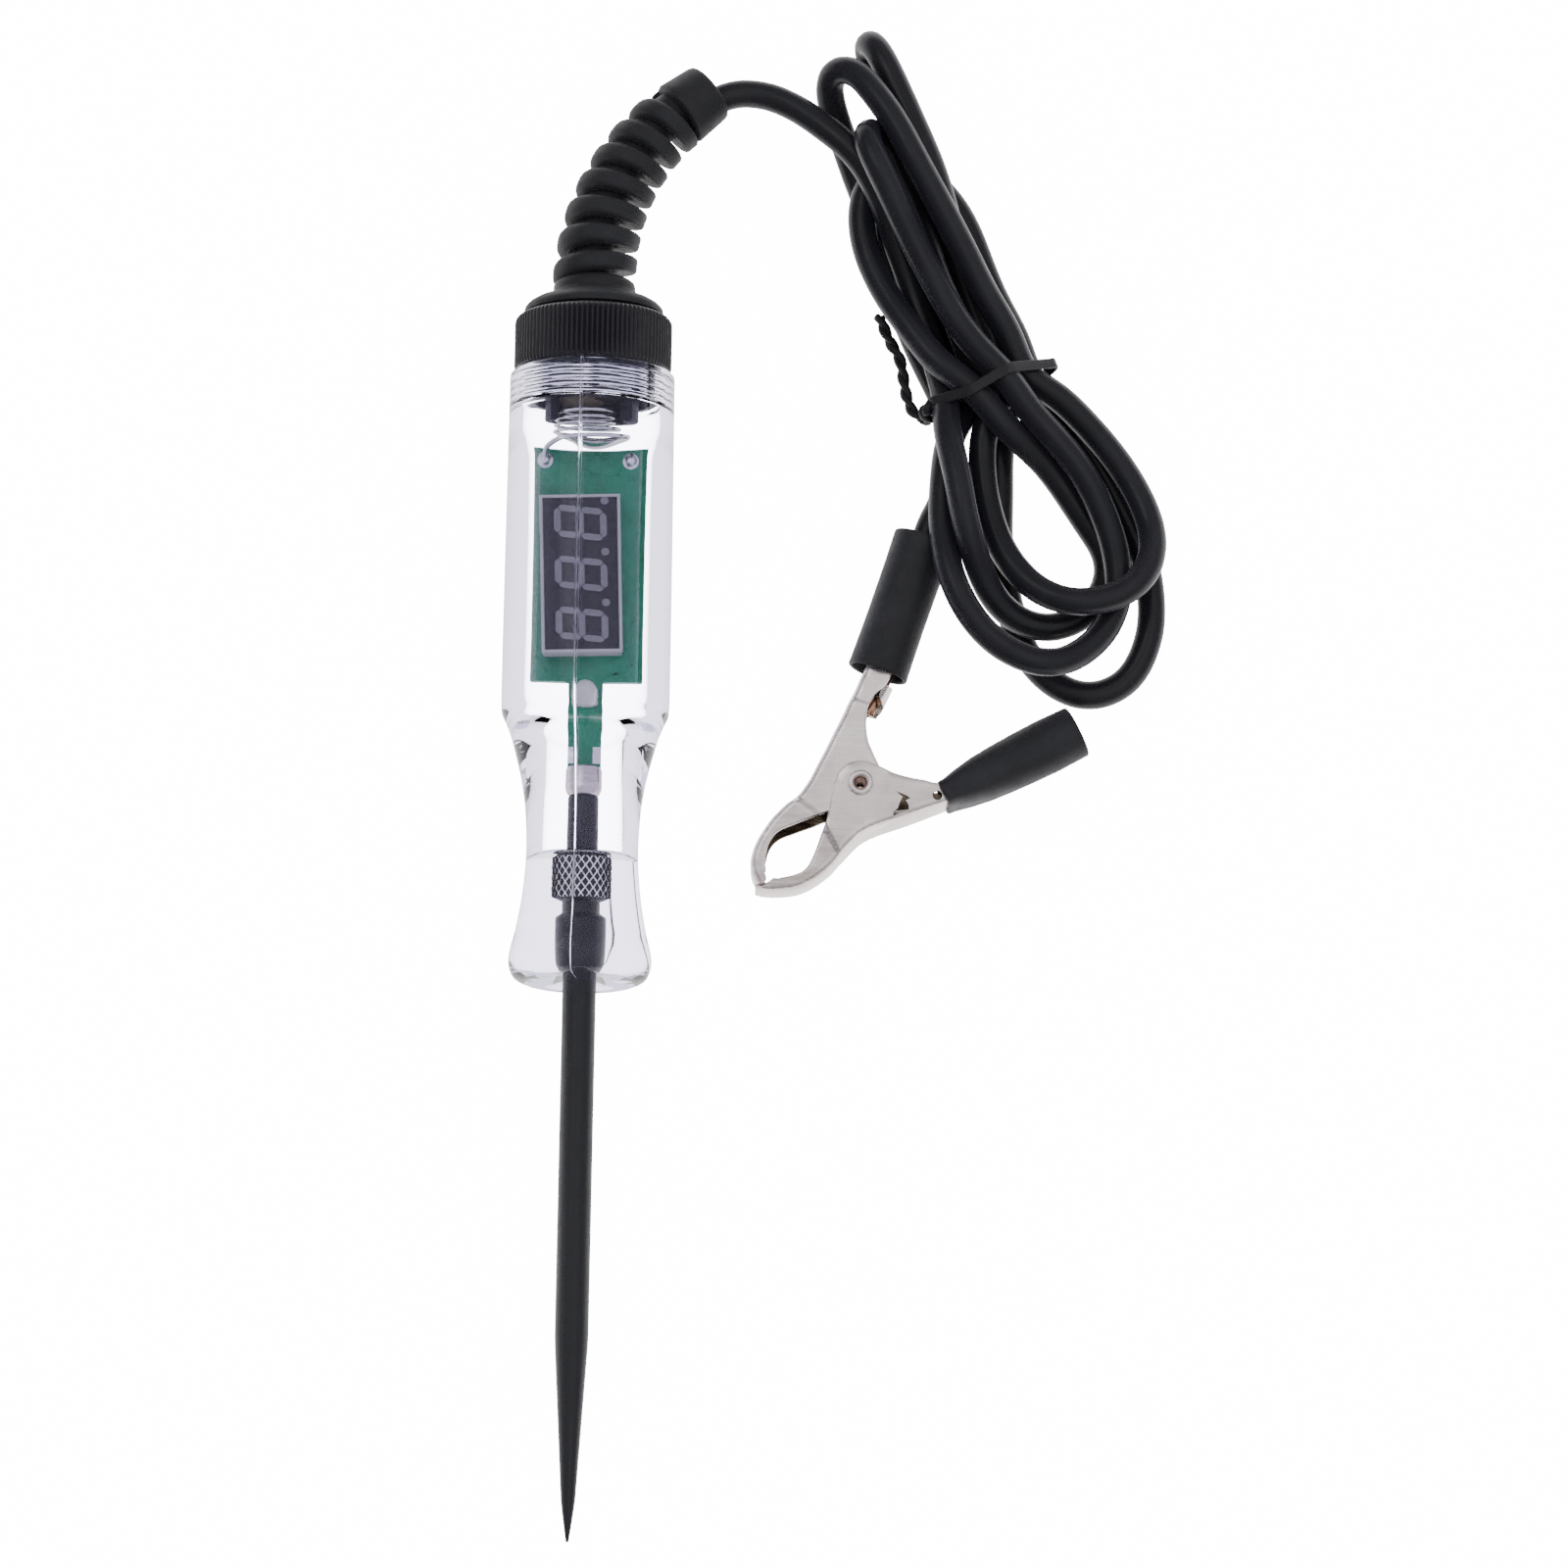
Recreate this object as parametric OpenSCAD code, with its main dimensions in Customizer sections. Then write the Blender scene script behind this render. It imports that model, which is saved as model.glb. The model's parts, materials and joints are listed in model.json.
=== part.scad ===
// Circuit test light: a clear probe handle with a digital readout, a screwed
// cable end with a ribbed strain relief, a hanked cord and a sprung ground clip.
// Millimetres, +Z up. The pen's axis lies along Y with the probe point toward -Y.
// Origin: under the middle of the pen, on the table.

/* [Overall] */
// length from the probe point to the back of the screw cap
pen_len = 174; // [160:0.5:190]
// height of the pen's axis above the table, the handle's largest radius
axis_z = 11.8; // [11:0.1:13]

/* [Handle] */
// distance from the probe point to the nose end of the handle
handle_front = 78.5; // [70:0.5:90]
// distance from the probe point to the rear face of the handle
handle_rear = 165.6; // [150:0.1:180]
// radius of the flare at the nose end
flare_r = 10; // [9:0.1:11]
// radius of the waist between the flare and the body
waist_r = 7.85; // [7:0.05:9]
// radius of the body at the rear face
body_rear_r = 11.6; // [11:0.1:11.8]
// radius of the bore round the circuit board
board_bore_r = 8.6; // [8.2:0.1:9.2]
// radius of the bore through the neck
neck_bore_r = 5.5; // [4.5:0.1:6]
// radius of the threaded bore at the rear
thread_bore_r = 9.55; // [9.2:0.05:10]
// distance from the probe point to the floor of the neck bore
neck_floor = 96; // [92:0.5:100]
// distance from the probe point to the shoulder between the two bores
bore_step = 117; // [114:0.5:120]
// distance from the probe point to the start of the threaded bore
thread_start = 154.6; // [150:0.1:158]

/* [Probe] */
// radius of the probe rod
rod_r = 2.35; // [2:0.05:3]
// radius of the rod's root inside the handle
rod_root_r = 2.52; // [2.4:0.01:2.7]
// length of the long taper, measured from the point
taper_len = 28; // [20:1:40]
// length of the sharp end of the taper
point_len = 4.5; // [2:0.5:8]
// radius where the sharp end begins
point_r = 0.85; // [0.5:0.05:1.2]
// radius of the blunted point
point_flat_r = 0.2; // [0.1:0.05:0.4]
// radius of the knurled band moulded into the handle
knurl_r = 2.8; // [2.5:0.05:3.2]
// length of the knurled band
knurl_len = 6.7; // [4:0.1:9]
// number of teeth round the knurled band
knurl_teeth = 24; // [12:1:36]
// depth of the knurl teeth
knurl_depth = 0.2; // [0.1:0.05:0.4]
// radius of the groove in front of the knurled band
rod_groove_r = 1.75; // [1.4:0.05:2.2]
// length of the groove
rod_groove_len = 2; // [1:0.1:3]
// radius of the rod's inner stem, inside the sleeve
stem_r = 1.5; // [1.2:0.05:2]
// outer radius of the insulating sleeve
sleeve_r = 2.15; // [1.9:0.05:2.6]
// distance from the probe point to the rear end of the sleeve
sleeve_end = 105; // [102:0.1:108]
// outer radius of the solder terminal
terminal_r = 2.6; // [2.4:0.05:3]
// distance from the probe point to the rear end of the terminal
terminal_end = 109.4; // [107:0.1:112]

/* [Circuit board] */
// board width round the display
board_w = 16; // [14:0.1:17]
// distance from the probe point to the front of the wide part
board_front = 121; // [118:0.1:124]
// distance from the probe point to the rear edge
board_rear = 154.1; // [150:0.1:154.4]
// board thickness
board_t = 1.2; // [0.8:0.1:1.6]
// height of the board's top over the pen axis
board_top = 0.2; // [-0.5:0.1:0.5]
// width of the tongue
tongue_w = 4.8; // [4:0.1:6]
// width of the tongue's end inside the terminal
tongue_tip_w = 3.6; // [3:0.1:4]
// distance from the probe point to the tongue's end
tongue_end = 106.6; // [105:0.1:109]

/* [Display] */
// length of the display module along the pen
display_len = 22.6; // [20:0.1:24]
// width of the display module
display_w = 10.8; // [10:0.1:12]
// height of the display module above the board
display_h = 3; // [2:0.1:6]
// distance from the probe point to the middle of the display
display_mid = 136; // [130:0.1:140]
// the display's middle, across the board from the pen's axis
display_x = -0.9; // [-1.5:0.1:1.5]
// turn of the display on the board, in degrees
display_turn = 2; // [0:0.5:4]
// wall of the display case round the face
display_wall = 0.4; // [0.3:0.1:1]
// height of a digit
digit_h = 7.1; // [6:0.1:8]
// width of a digit
digit_w = 4.6; // [3.5:0.1:5.5]
// spacing of the digits
digit_pitch = 7.3; // [6.5:0.1:7.6]
// width of a segment stroke
stroke = 0.9; // [0.6:0.1:1.2]
// sideways lean of a digit over its height
digit_lean = 0.9; // [0:0.1:1.5]
// radius of a decimal point
dot_r = 0.55; // [0.3:0.05:0.8]
// radius of the round indicator lamp
lamp_r = 1.5; // [1.5:0.1:2.5]
// distance from the probe point to the lamp
lamp_at = 119.2; // [118:0.1:121]

/* [Cable end] */
// outer radius of the screw cap over its ribs
cap_r = 11.1; // [10.5:0.1:11.6]
// number of grip ribs round the cap
cap_ribs = 96; // [48:4:120]
// depth of the grip ribs
cap_rib_depth = 0.2; // [0.1:0.05:0.4]
// gap between the handle's rear face and the cap
cap_gap = 0.3; // [0.2:0.1:1]
// radius of the cap's threaded spigot
spigot_r = 9.5; // [9.2:0.05:10]
// distance from the probe point to the spigot's front end
spigot_front = 159; // [156:0.5:162]
// radius of the recess inside the cap
cap_recess_r = 8.1; // [7.5:0.1:8.5]
// thickness of the cap's end wall
cap_wall = 3.8; // [2:0.1:5]
// radius of the hole through the cap's end wall
cap_hole_r = 6.7; // [6:0.1:7.5]
// radius of the moulded plug inside the cap
plug_r = 6.5; // [5.5:0.1:7]
// distance from the probe point to the plug's front end
plug_front = 158.6; // [156:0.1:160]
// radius of the flange trapped under the cap's end wall
plug_flange_r = 7.8; // [7:0.1:8]
// thickness of that flange
plug_flange_t = 2.4; // [1.5:0.1:4]
// radius of the domed shoulder outside the cap
dome_r = 9.8; // [9:0.1:10.5]
// height of the domed shoulder
dome_h = 2.9; // [2:0.1:4]
// radius of the neck above the dome
neck_r = 5.8; // [5:0.1:6.5]
// radius of the strain relief's core at the dome
core_r = 3.7; // [3:0.1:4.5]
// number of ribs on the strain relief
relief_ribs = 7; // [5:1:9]
// spacing of the ribs
relief_pitch = 4; // [3:0.1:5]
// thickness of a rib
relief_rib_t = 2.4; // [1.5:0.1:3]
// radius of the first rib
rib_first_r = 5.7; // [5:0.1:6.5]
// radius of the last rib
rib_last_r = 4.6; // [4:0.1:5.5]
// radius of the bend the strain relief rests in
relief_bend_r = 33; // [20:1:60]
// angle of that bend
relief_bend = 50; // [0:1:60]
// roll of the bend toward the table, in degrees
relief_roll = 10; // [0:1:20]
// length of the end collar
collar_len = 5.2; // [4:0.1:7]
// radius of the collar where it leaves the last rib
collar_r1 = 4.4; // [4:0.1:5]
// radius of the collar at its end
collar_r2 = 3.8; // [3.5:0.1:4.5]

/* [Cord] */
// diameter of the cord
cord_d = 3.8; // [3:0.1:4.5]
// top of the hank above the table
hank_top = 10.8; // [7:0.1:12]
// underside of the strand that arches over the boots
arch_under = 9.2; // [8.8:0.1:10]
// top of that strand
arch_top = 12.9; // [12:0.1:14]
// top of the strand that lies along the upper loops
ridge_top = 14.4; // [13:0.1:15]
// underside of the hank above the table
hank_under = 0.6; // [0.5:0.1:1]
// width of the tie's band
tie_w = 1.4; // [1:0.1:3]
// thickness of the tie's band
tie_t = 0.45; // [0.3:0.05:0.8]

/* [Clip] */
// position of the clip's pivot across and along the table
clip_at = [38.7, 21.2]; // [0:0.1:80]
// height of the clip's middle plane
clip_z = 4.9; // [4.8:0.1:6]
// sheet thickness of the jaws
sheet = 0.8; // [0.5:0.1:1.2]
// direction of the cord jaw's handle, in degrees from X
cord_arm_dir = 72; // [60:1:90]
// direction of the free jaw's handle, in degrees from X
free_arm_dir = 28; // [10:1:40]
// radius of the rivet's shank
rivet_r = 1.2; // [1:0.05:1.6]
// radius of the hole through the rivet
rivet_hole_r = 0.85; // [0.5:0.05:1]
// radius of the rivet's rolled head
rivet_head_r = 1.7; // [1.5:0.1:2.2]
// radial clearance of the jaws on the rivet
rivet_gap = 0.05; // [0.02:0.01:0.1]
// length of the boots
boot_len = 20.6; // [16:0.2:26]
// radius of the boot on the cord jaw
boot_cord_r = 4.2; // [3.8:0.1:5]
// radius of the boot on the free jaw, at its far end
boot_free_r = 3.7; // [3.2:0.1:4.5]
// wall of the boots
boot_wall = 0.6; // [0.4:0.1:1]
// mean radius of the clip's spring coil
coil_r = 2.3; // [2:0.1:3]
// wire diameter of the clip's spring
coil_wire = 0.8; // [0.5:0.1:1]

/* [Hidden] */

$fn = 64;
slack = 0.01;

CLEAR = [0.86, 0.86, 0.93, 0.35];
BLACK = [0.09, 0.09, 0.10];
STEEL = [0.72, 0.70, 0.68];
GREEN = [0.05, 0.30, 0.20];
GREY = [0.55, 0.54, 0.56];
COPPER = [0.72, 0.42, 0.25];

// Pen stations, all measured from the probe point.
knurl_front = neck_floor - knurl_len;
cap_front = handle_rear + cap_gap;
cap_core_r = cap_r - cap_rib_depth - 0.2;
flange_rear = pen_len - cap_wall - cap_gap;
dome_front = pen_len + cap_gap;
dome_rear = dome_front + dome_h;
neck_len = 2.2;
relief_start = dome_rear + neck_len;
bore_step_len = 1.5;

// The handle's outside as [radius, station], nose to rear.
handle_outline = [
    [8, handle_front], [9.2, 79.1], [9.8, 80.2], [flare_r, 81.5], [9.8, 83], [9.3, 85],
    [8.7, 88], [8.2, 91.5], [waist_r, 96], [7.9, 100], [8.2, 104], [8.8, 107.5],
    [9.6, 110.8], [10.4, 113.6], [11.2, 115.6], [11.6, 116.4], [axis_z - 0.03, 117.6],
    [axis_z, 119], [axis_z, 126], [body_rear_r, handle_rear]];

// The board's outline as [across, station].
board_outline = [
    [-board_w / 2, board_front], [-tongue_w / 2, board_front], [-tongue_w / 2, terminal_end],
    [-tongue_tip_w / 2, terminal_end], [-tongue_tip_w / 2, tongue_end],
    [tongue_tip_w / 2, tongue_end], [tongue_tip_w / 2, terminal_end],
    [tongue_w / 2, terminal_end], [tongue_w / 2, board_front], [board_w / 2, board_front],
    [board_w / 2, board_rear], [-board_w / 2, board_rear]];
pad_at = [[-6.4, 152.7], [5.6, 152.7]];
pad_r = 1.1;
pad_h = 0.8;
edge_pad_w = 1.2;
edge_pad_len = 2.5;
edge_pad_t = 0.08;

// Display details.
face_depth = 0.4;
face_sink = 0.15;
digit_sink = 0.1;
pin_pitch = 2.54;
pins_per_row = 6;
pin_row_x = 4;
pin_r = 0.25;
pin_below = 1;

// Cord stretches, each from its first to its last route point.
lead_route = [[14.8, 118.1, 9], [17, 119.6, 8.9], [20, 120.3, 8.7], [24, 119.7, 8.2],
    [28, 117.9, 7.5], [32, 115.1, 6.6], [35, 112.4, 6]];
tail_route = [[49.6, 65, 3.8], [49, 62, 4.4], [48.2, 60, 4.8], [47.3, 57.4, 4.9],
    [45.6, 52.1, 4.9], [43.9, 46.8, 4.9]];
hank_outline = [[48.6, 63.5], [50.5, 61.5], [52.4, 58.5], [51.9, 54], [54, 50], [57.4, 46.6],
    [61.2, 44], [65.2, 40.2], [67.2, 37.2], [69, 34.2], [72, 34], [77, 36], [80.4, 40.5],
    [81.2, 46], [80.9, 54], [79.2, 64], [74, 72], [68.5, 77.6], [63.1, 81.8], [60, 89.4],
    [57, 97], [52, 107], [46.6, 117.5], [43.4, 126], [41, 131], [38, 132.4], [35.6, 131], [34.6, 127.6],
    [31.8, 126.4], [30.6, 123], [31.5, 117], [33.2, 111], [34, 104], [36.4, 97], [39.6, 91], [43.3, 84.3],
    [46.6, 78.6], [48.1, 75.8], [47.4, 72], [47.6, 67]];
// The strand over the boots and the strand on top of the upper loops.
arch_outline = [[48.6, 60], [48.8, 55], [49.8, 49.6], [51.7, 44.9], [54.8, 41.1], [59.1, 38.4],
    [63.7, 37.6], [68.5, 38.8], [71.8, 42], [68, 45.5], [63, 46.5], [58.5, 49], [55, 53],
    [53.5, 60]];
ridge_outline = [[49.8, 97.4], [53.2, 99.2], [46.8, 111], [41.8, 120], [38.4, 124.4],
    [35, 122.4], [38.6, 117.6], [43.2, 109.4]];
tie_at = [55.6, 78.8];
tie_dir = 22;
tie_half = 8.3;
tie_corner = 2.5;
tie_tail = [[47.9, 75.6, 4.6], [46.8, 74.6, 4.8], [45.2, 75, 5], [44, 77.4, 5], [43.3, 80.6, 4.6],
    [42.4, 83.4, 4], [40.8, 86.2, 3.4], [39.4, 90.2, 3]];
tie_tail_r = 0.6;
cord_sides = 8;

// Clip outlines in the plane of the clip, from its pivot.
jaw_cord_outer = [[2.8, 24.3], [0.5, 17.2], [-1.2, 13.2], [-3.9, 7.4], [-6.6, 1.7],
    [-8.7, -1.6], [-10.2, -2.8], [-12.1, -4.8], [-13.7, -7], [-14.6, -9], [-14.9, -11],
    [-14.7, -13], [-14.1, -14.6]];
jaw_cord_inner = [[-13.5, -14], [-13.4, -9.2], [-12.9, -8], [-11.5, -6.9], [-9.2, -5.9],
    [-5.1, -4.2], [-2.4, -2.6], [0, -3.4], [2.4, -2.4], [3.3, 0], [2.7, 2.6], [1.7, 4.7],
    [1, 6.7], [0.7, 9], [0.8, 11.5], [1.6, 13], [3.2, 14.4], [4.1, 16], [6.4, 23.1]];
jaw_free_outer = [[18.5, 1.1], [12.2, -2.3], [8.4, -3.8], [4.6, -5.2], [1.8, -6.3],
    [0.1, -7.3], [-1.3, -8.7], [-2.6, -10.2], [-3.7, -11.6], [-5, -12.8], [-6.6, -14],
    [-8.4, -14.8], [-10.4, -15.1], [-12, -15], [-13.3, -14.7]];
jaw_free_inner = [[-13.3, -14], [-12.4, -13.6], [-10.5, -13.5], [-8.9, -13.2], [-7.7, -12.4],
    [-6.4, -10.2], [-5.4, -7.2], [-4.5, -4.6], [-4.1, -2.5], [-3.8, -0.4], [-3.2, 1.3],
    [-1.9, 2.6], [0, 3.2], [1.8, 2.9], [3.8, 1.8], [7.2, 0.8], [11, 0.2], [17.3, 3.4]];
// Half depth of each channel against distance along its handle direction.
cord_depth = [[-20, 3.1], [-6, 4.1], [-5.2, 3.7], [5, 3.7], [16.5, 2.9], [26, 2.5]];
cord_hollow = [[-20, 2.3], [-5.2, 3.3], [-4.4, 2.9], [5, 2.9], [16.5, 2.1], [26, 1.7]];
free_depth = [[-20, 3.1], [-7.6, 4.1], [-6.9, 4.6], [4, 4.6], [9.8, 3.9], [20, 3.1]];
free_hollow = [[-20, 2.3], [-6.6, 3.3], [-5.9, 3.8], [4, 3.8], [9.8, 3.1], [20, 2.3]];
clip_reach = 60;
crimp_at = 12.9;
crimp_len = 3.4;
crimp_r = 3.1;
crimp_shift = 3.4;
core_from = 11.2;
core_to = 25.9;
core_shift = 2.6;
bare_core_r = 1.1;
slot_at = [5.9, -2.9];
slot_size = [1.2, 2.6];
eye_at = [10.6, -0.7];
eye_r = 0.7;
rivet_head_t = 0.3;
ear_half = 4.6;
cord_mouth = 16.5;
free_mouth = 9.8;
boot_sides = 24;
coil_turns = 5;
coil_steps = 14;
wire_sides = 6;

// ---- helpers ----

function y_of(station) = station - pen_len / 2;
function unit(v) = v / norm(v);
function reversed(p) = [for (i = [len(p) - 1:-1:0]) p[i]];
function tangent(p, i) = unit(p[min(i + 1, len(p) - 1)] - p[max(i - 1, 0)]);
// Moves every point of a plane path to its left by d.
function inset(p, d) = [for (i = [0:len(p) - 1])
    let (t = tangent(p, i)) p[i] + d * [-t[1], t[0]]];
// A ring of points across direction t: half widths a (level) and b (upright),
// n = 2 for an ellipse, larger for a squarer outline.
function ring(c, t, a, b, n, sides) =
    let (s = unit(cross(t, [0, 0, 1])), u = cross(s, t))
    [for (k = [0:sides - 1]) let (f = 360 * k / sides, x = cos(f), y = sin(f),
        g = pow(pow(abs(x), n) + pow(abs(y), n), -1 / n)) c + s * a * x * g + u * b * y * g];
function mix(a, b, f) = a + (b - a) * f;

// Places a shape drawn round Z at a station on the pen's axis, Z toward the rear.
module on_axis(station) translate([0, y_of(station), axis_z]) rotate([-90, 0, 0]) children();

// Turns a [radius, station] outline round the pen's axis.
module turned(outline) translate([0, y_of(0), axis_z]) rotate([-90, 0, 0])
    rotate_extrude() polygon(outline);

// A plate in the board's plane, drawn as [across, station], from height z0 to z1 over the axis.
module plate(z0, z1) translate([0, y_of(0), axis_z + z0]) linear_extrude(z1 - z0) children();

// A closed solid through a list of rings, with flat ends.
module through_rings(rings) {
    n = len(rings[0]);
    m = len(rings);
    polyhedron(points = [for (r = rings) each r], faces = concat(
        [[for (k = [n - 1:-1:0]) k], [for (k = [0:n - 1]) (m - 1) * n + k]],
        [for (i = [0:m - 2], k = [0:n - 1]) each [
            [i * n + k, (i + 1) * n + (k + 1) % n, (i + 1) * n + k],
            [i * n + k, i * n + (k + 1) % n, (i + 1) * n + (k + 1) % n]]]));
}

// A sleeve through a closed loop of rings: out along its outside, back along its inside.
module sleeve_rings(rings) {
    n = len(rings[0]);
    m = len(rings);
    polyhedron(points = [for (r = rings) each r], faces =
        [for (i = [0:m - 1], k = [0:n - 1]) let (j = (i + 1) % m) each [
            [i * n + k, j * n + (k + 1) % n, j * n + k],
            [i * n + k, i * n + (k + 1) % n, j * n + (k + 1) % n]]]);
}

module swept(route, r) through_rings([for (i = [0:len(route) - 1])
    ring(route[i], tangent(route, i), r, r, 2, cord_sides)]);

// ---- handle and probe ----

module rod_profile() polygon([[0, 0], [point_flat_r, 0], [point_r, point_len],
    [rod_r, taper_len], [rod_r, handle_front - 0.5], [rod_root_r, handle_front - 0.3],
    [rod_root_r, knurl_front - rod_groove_len - 0.6],
    [rod_groove_r, knurl_front - rod_groove_len], [rod_groove_r, knurl_front - 0.4],
    [knurl_r - knurl_depth, knurl_front], [knurl_r - knurl_depth, neck_floor],
    [stem_r, neck_floor], [stem_r, tongue_end - 0.2], [0, tongue_end - 0.2]]);

module handle_shell() color(CLEAR) difference() {
    turned(concat([[0, handle_front]], handle_outline, [[0, handle_rear]]));
    turned([[0, neck_floor], [neck_bore_r, neck_floor], [neck_bore_r, bore_step],
        [board_bore_r, bore_step + bore_step_len], [board_bore_r, thread_start],
        [thread_bore_r, thread_start + 0.6], [thread_bore_r, handle_rear - 0.5],
        [thread_bore_r + 0.5, handle_rear + slack], [0, handle_rear + slack]]);
    translate([0, y_of(0), axis_z]) rotate([-90, 0, 0]) rotate_extrude() rod_profile();
    on_axis(knurl_front) cylinder(r = knurl_r, h = knurl_len + slack);
}

module probe_rod() color(BLACK) {
    translate([0, y_of(0), axis_z]) rotate([-90, 0, 0]) rotate_extrude() rod_profile();
    on_axis(knurl_front) linear_extrude(knurl_len)
        polygon([for (k = [0:2 * knurl_teeth - 1]) let (a = 180 * k / knurl_teeth,
            r = knurl_r - (k % 2) * knurl_depth) [r * cos(a), r * sin(a)]]);
}

module probe_sleeve() color(BLACK) turned([[stem_r, neck_floor], [sleeve_r, neck_floor],
    [sleeve_r, sleeve_end], [stem_r, sleeve_end]]);

module probe_terminal() color(STEEL) difference() {
    turned([[0, sleeve_end], [terminal_r - 0.5, sleeve_end], [terminal_r, sleeve_end + 0.8],
        [terminal_r, terminal_end - 0.3], [terminal_r - 0.3, terminal_end], [0, terminal_end]]);
    on_axis(sleeve_end - slack) cylinder(r = stem_r, h = tongue_end - sleeve_end);
    plate(board_top - board_t, board_top) polygon(board_outline);
}

// ---- board and its parts ----

module circuit_board() color(GREEN) plate(board_top - board_t, board_top)
    polygon(board_outline);

module edge_pads() color(STEEL) for (s = [-1, 1])
    plate(board_top, board_top + edge_pad_t)
        translate([s * (tongue_w - edge_pad_w) / 2, terminal_end + 0.8 + edge_pad_len / 2])
            square([edge_pad_w, edge_pad_len], center = true);

module on_display() translate([display_x, display_mid]) rotate(display_turn)
    children();

module display_case() color([0.75, 0.75, 0.77]) difference() {
    plate(board_top, board_top + display_h) on_display()
        square([display_w, display_len], center = true);
    plate(board_top + display_h - face_depth, board_top + display_h + slack) on_display()
        square([display_w, display_len] - 2 * [display_wall, display_wall], center = true);
}

module display_face() color(BLACK) difference() {
    plate(board_top + display_h - face_depth, board_top + display_h - face_sink) on_display()
        square([display_w, display_len] - 2 * [display_wall, display_wall], center = true);
    digit_shapes(board_top + display_h - face_sink - digit_sink,
        board_top + display_h - face_sink + slack);
}

// One stroke from p to q with pointed ends, leaning with the digit.
module bar(p, q) {
    d = unit(q - p) * stroke / 2;
    n = [-d[1], d[0]];
    e = d * 1.15;
    polygon([for (v = [p + e - d, p + e + n, q - e + n, q - e + d, q - e - n, p + e - n])
        [v[0] + digit_lean * (v[1] / digit_h), v[1]]]);
}

module digit_strokes() {
    x = (digit_w - stroke) / 2;
    y = (digit_h - stroke) / 2;
    for (v = [-y, 0, y]) bar([-x, v], [x, v]);
    for (s = [-1, 1], v = [0, 1]) bar([s * x, (v - 1) * y], [s * x, v * y]);
}

// The digits read along the pen, their tops toward -X.
module digit_shapes(z0, z1) plate(z0, z1) on_display()
    for (k = [-1:1]) translate([0, k * digit_pitch]) {
        rotate(90) digit_strokes();
        translate([digit_h / 2 - dot_r + 0.3, digit_w / 2 + dot_r + 0.25]) circle(r = dot_r);
    }

module display_digits() color(GREY)
    digit_shapes(board_top + display_h - face_sink - digit_sink,
        board_top + display_h - face_sink);

module display_pins() color(STEEL) for (s = [-1, 1], k = [0:pins_per_row - 1])
    plate(board_top - board_t - pin_below, board_top - board_t) on_display()
        translate([s * pin_row_x, (k - (pins_per_row - 1) / 2) * pin_pitch])
            circle(r = pin_r, $fn = 24);

module indicator_lamp() color([0.92, 0.92, 0.94])
    translate([0, y_of(lamp_at), axis_z + board_top]) {
        cylinder(r = lamp_r + 0.3, h = 0.8);
        cylinder(r = lamp_r, h = 3);
        translate([0, 0, 3]) sphere(r = lamp_r);
    }

module solder_joints() color(STEEL) for (p = pad_at)
    translate([p[0], y_of(p[1]), axis_z + board_top])
        cylinder(r1 = pad_r, r2 = pad_r * 0.45, h = pad_h);

module under_board(x, station, w, l, h) plate(board_top - board_t - h, board_top - board_t)
    translate([x, station]) square([w, l], center = true);

module controller_chip() color(BLACK) under_board(display_x, 143, 3.9, 9.9, 1.5);

module controller_legs() color(STEEL) for (s = [-1, 1], k = [-3.5:3.5])
    under_board(display_x + s * 2.5, 143 + k * 1.27, 1.1, 0.42, 0.9);

module voltage_regulator() color(BLACK) under_board(0, 125.5, 2.6, 4.5, 1.4);

module chip_resistors() color(BLACK) for (x = [-6, 6], k = [0:2])
    under_board(x, 128 + 3 * k, 0.9, 1.6, 0.5);

module chip_capacitors() color([0.62, 0.50, 0.36]) for (x = [-6, 6], k = [0:1])
    under_board(x, 144 + 3 * k, 1.3, 2, 1);

// ---- cable end ----

spring_wire = 0.6;
spring_low = 155.4;
spring_high = 160.7;
spring_turns = 5;
spring_steps = 16;
spring_wide_r = 7;
spring_tight_r = 4.1;
spring_shift = -1.7;
pocket_depth = 3;
pocket_r = 4.5;

function spring_at(f) = let (wide = pow(max(0, 1 - f * 2.2), 1.4),
    a = 180 + 360 * spring_turns * f, r = mix(spring_tight_r, spring_wide_r, wide))
    [[spring_shift * (1 - wide) + r * cos(a), y_of(mix(spring_low, spring_high, f)),
        axis_z - r * sin(a)], [cos(a), 0, -sin(a)]];
function wire_ring(c, e, w, sides) = [for (k = [0:sides - 1])
    c + w / 2 * (e * cos(360 * k / sides) + [0, 1, 0] * sin(360 * k / sides))];

module contact_spring() color(STEEL) {
    n = spring_turns * spring_steps;
    through_rings(concat([wire_ring([pad_at[0][0], y_of(pad_at[0][1]) + 0.3,
        axis_z + board_top + 0.5], [-0.3, 0, 0.95], spring_wire, wire_sides)],
        [for (i = [1:n]) let (s = spring_at(i / n))
            wire_ring(s[0], s[1], spring_wire, wire_sides)]));
}

module cable_contact() color([0.80, 0.66, 0.35])
    translate([spring_shift, 0, 0]) on_axis(plug_front + pocket_depth - 0.5)
        cylinder(r = 3.4, h = 0.5);

module cap_outline() polygon([for (k = [0:2 * cap_ribs - 1])
    let (a = 180 * k / cap_ribs, r = cap_r - (k % 2) * cap_rib_depth) [r * cos(a), r * sin(a)]]);

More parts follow.
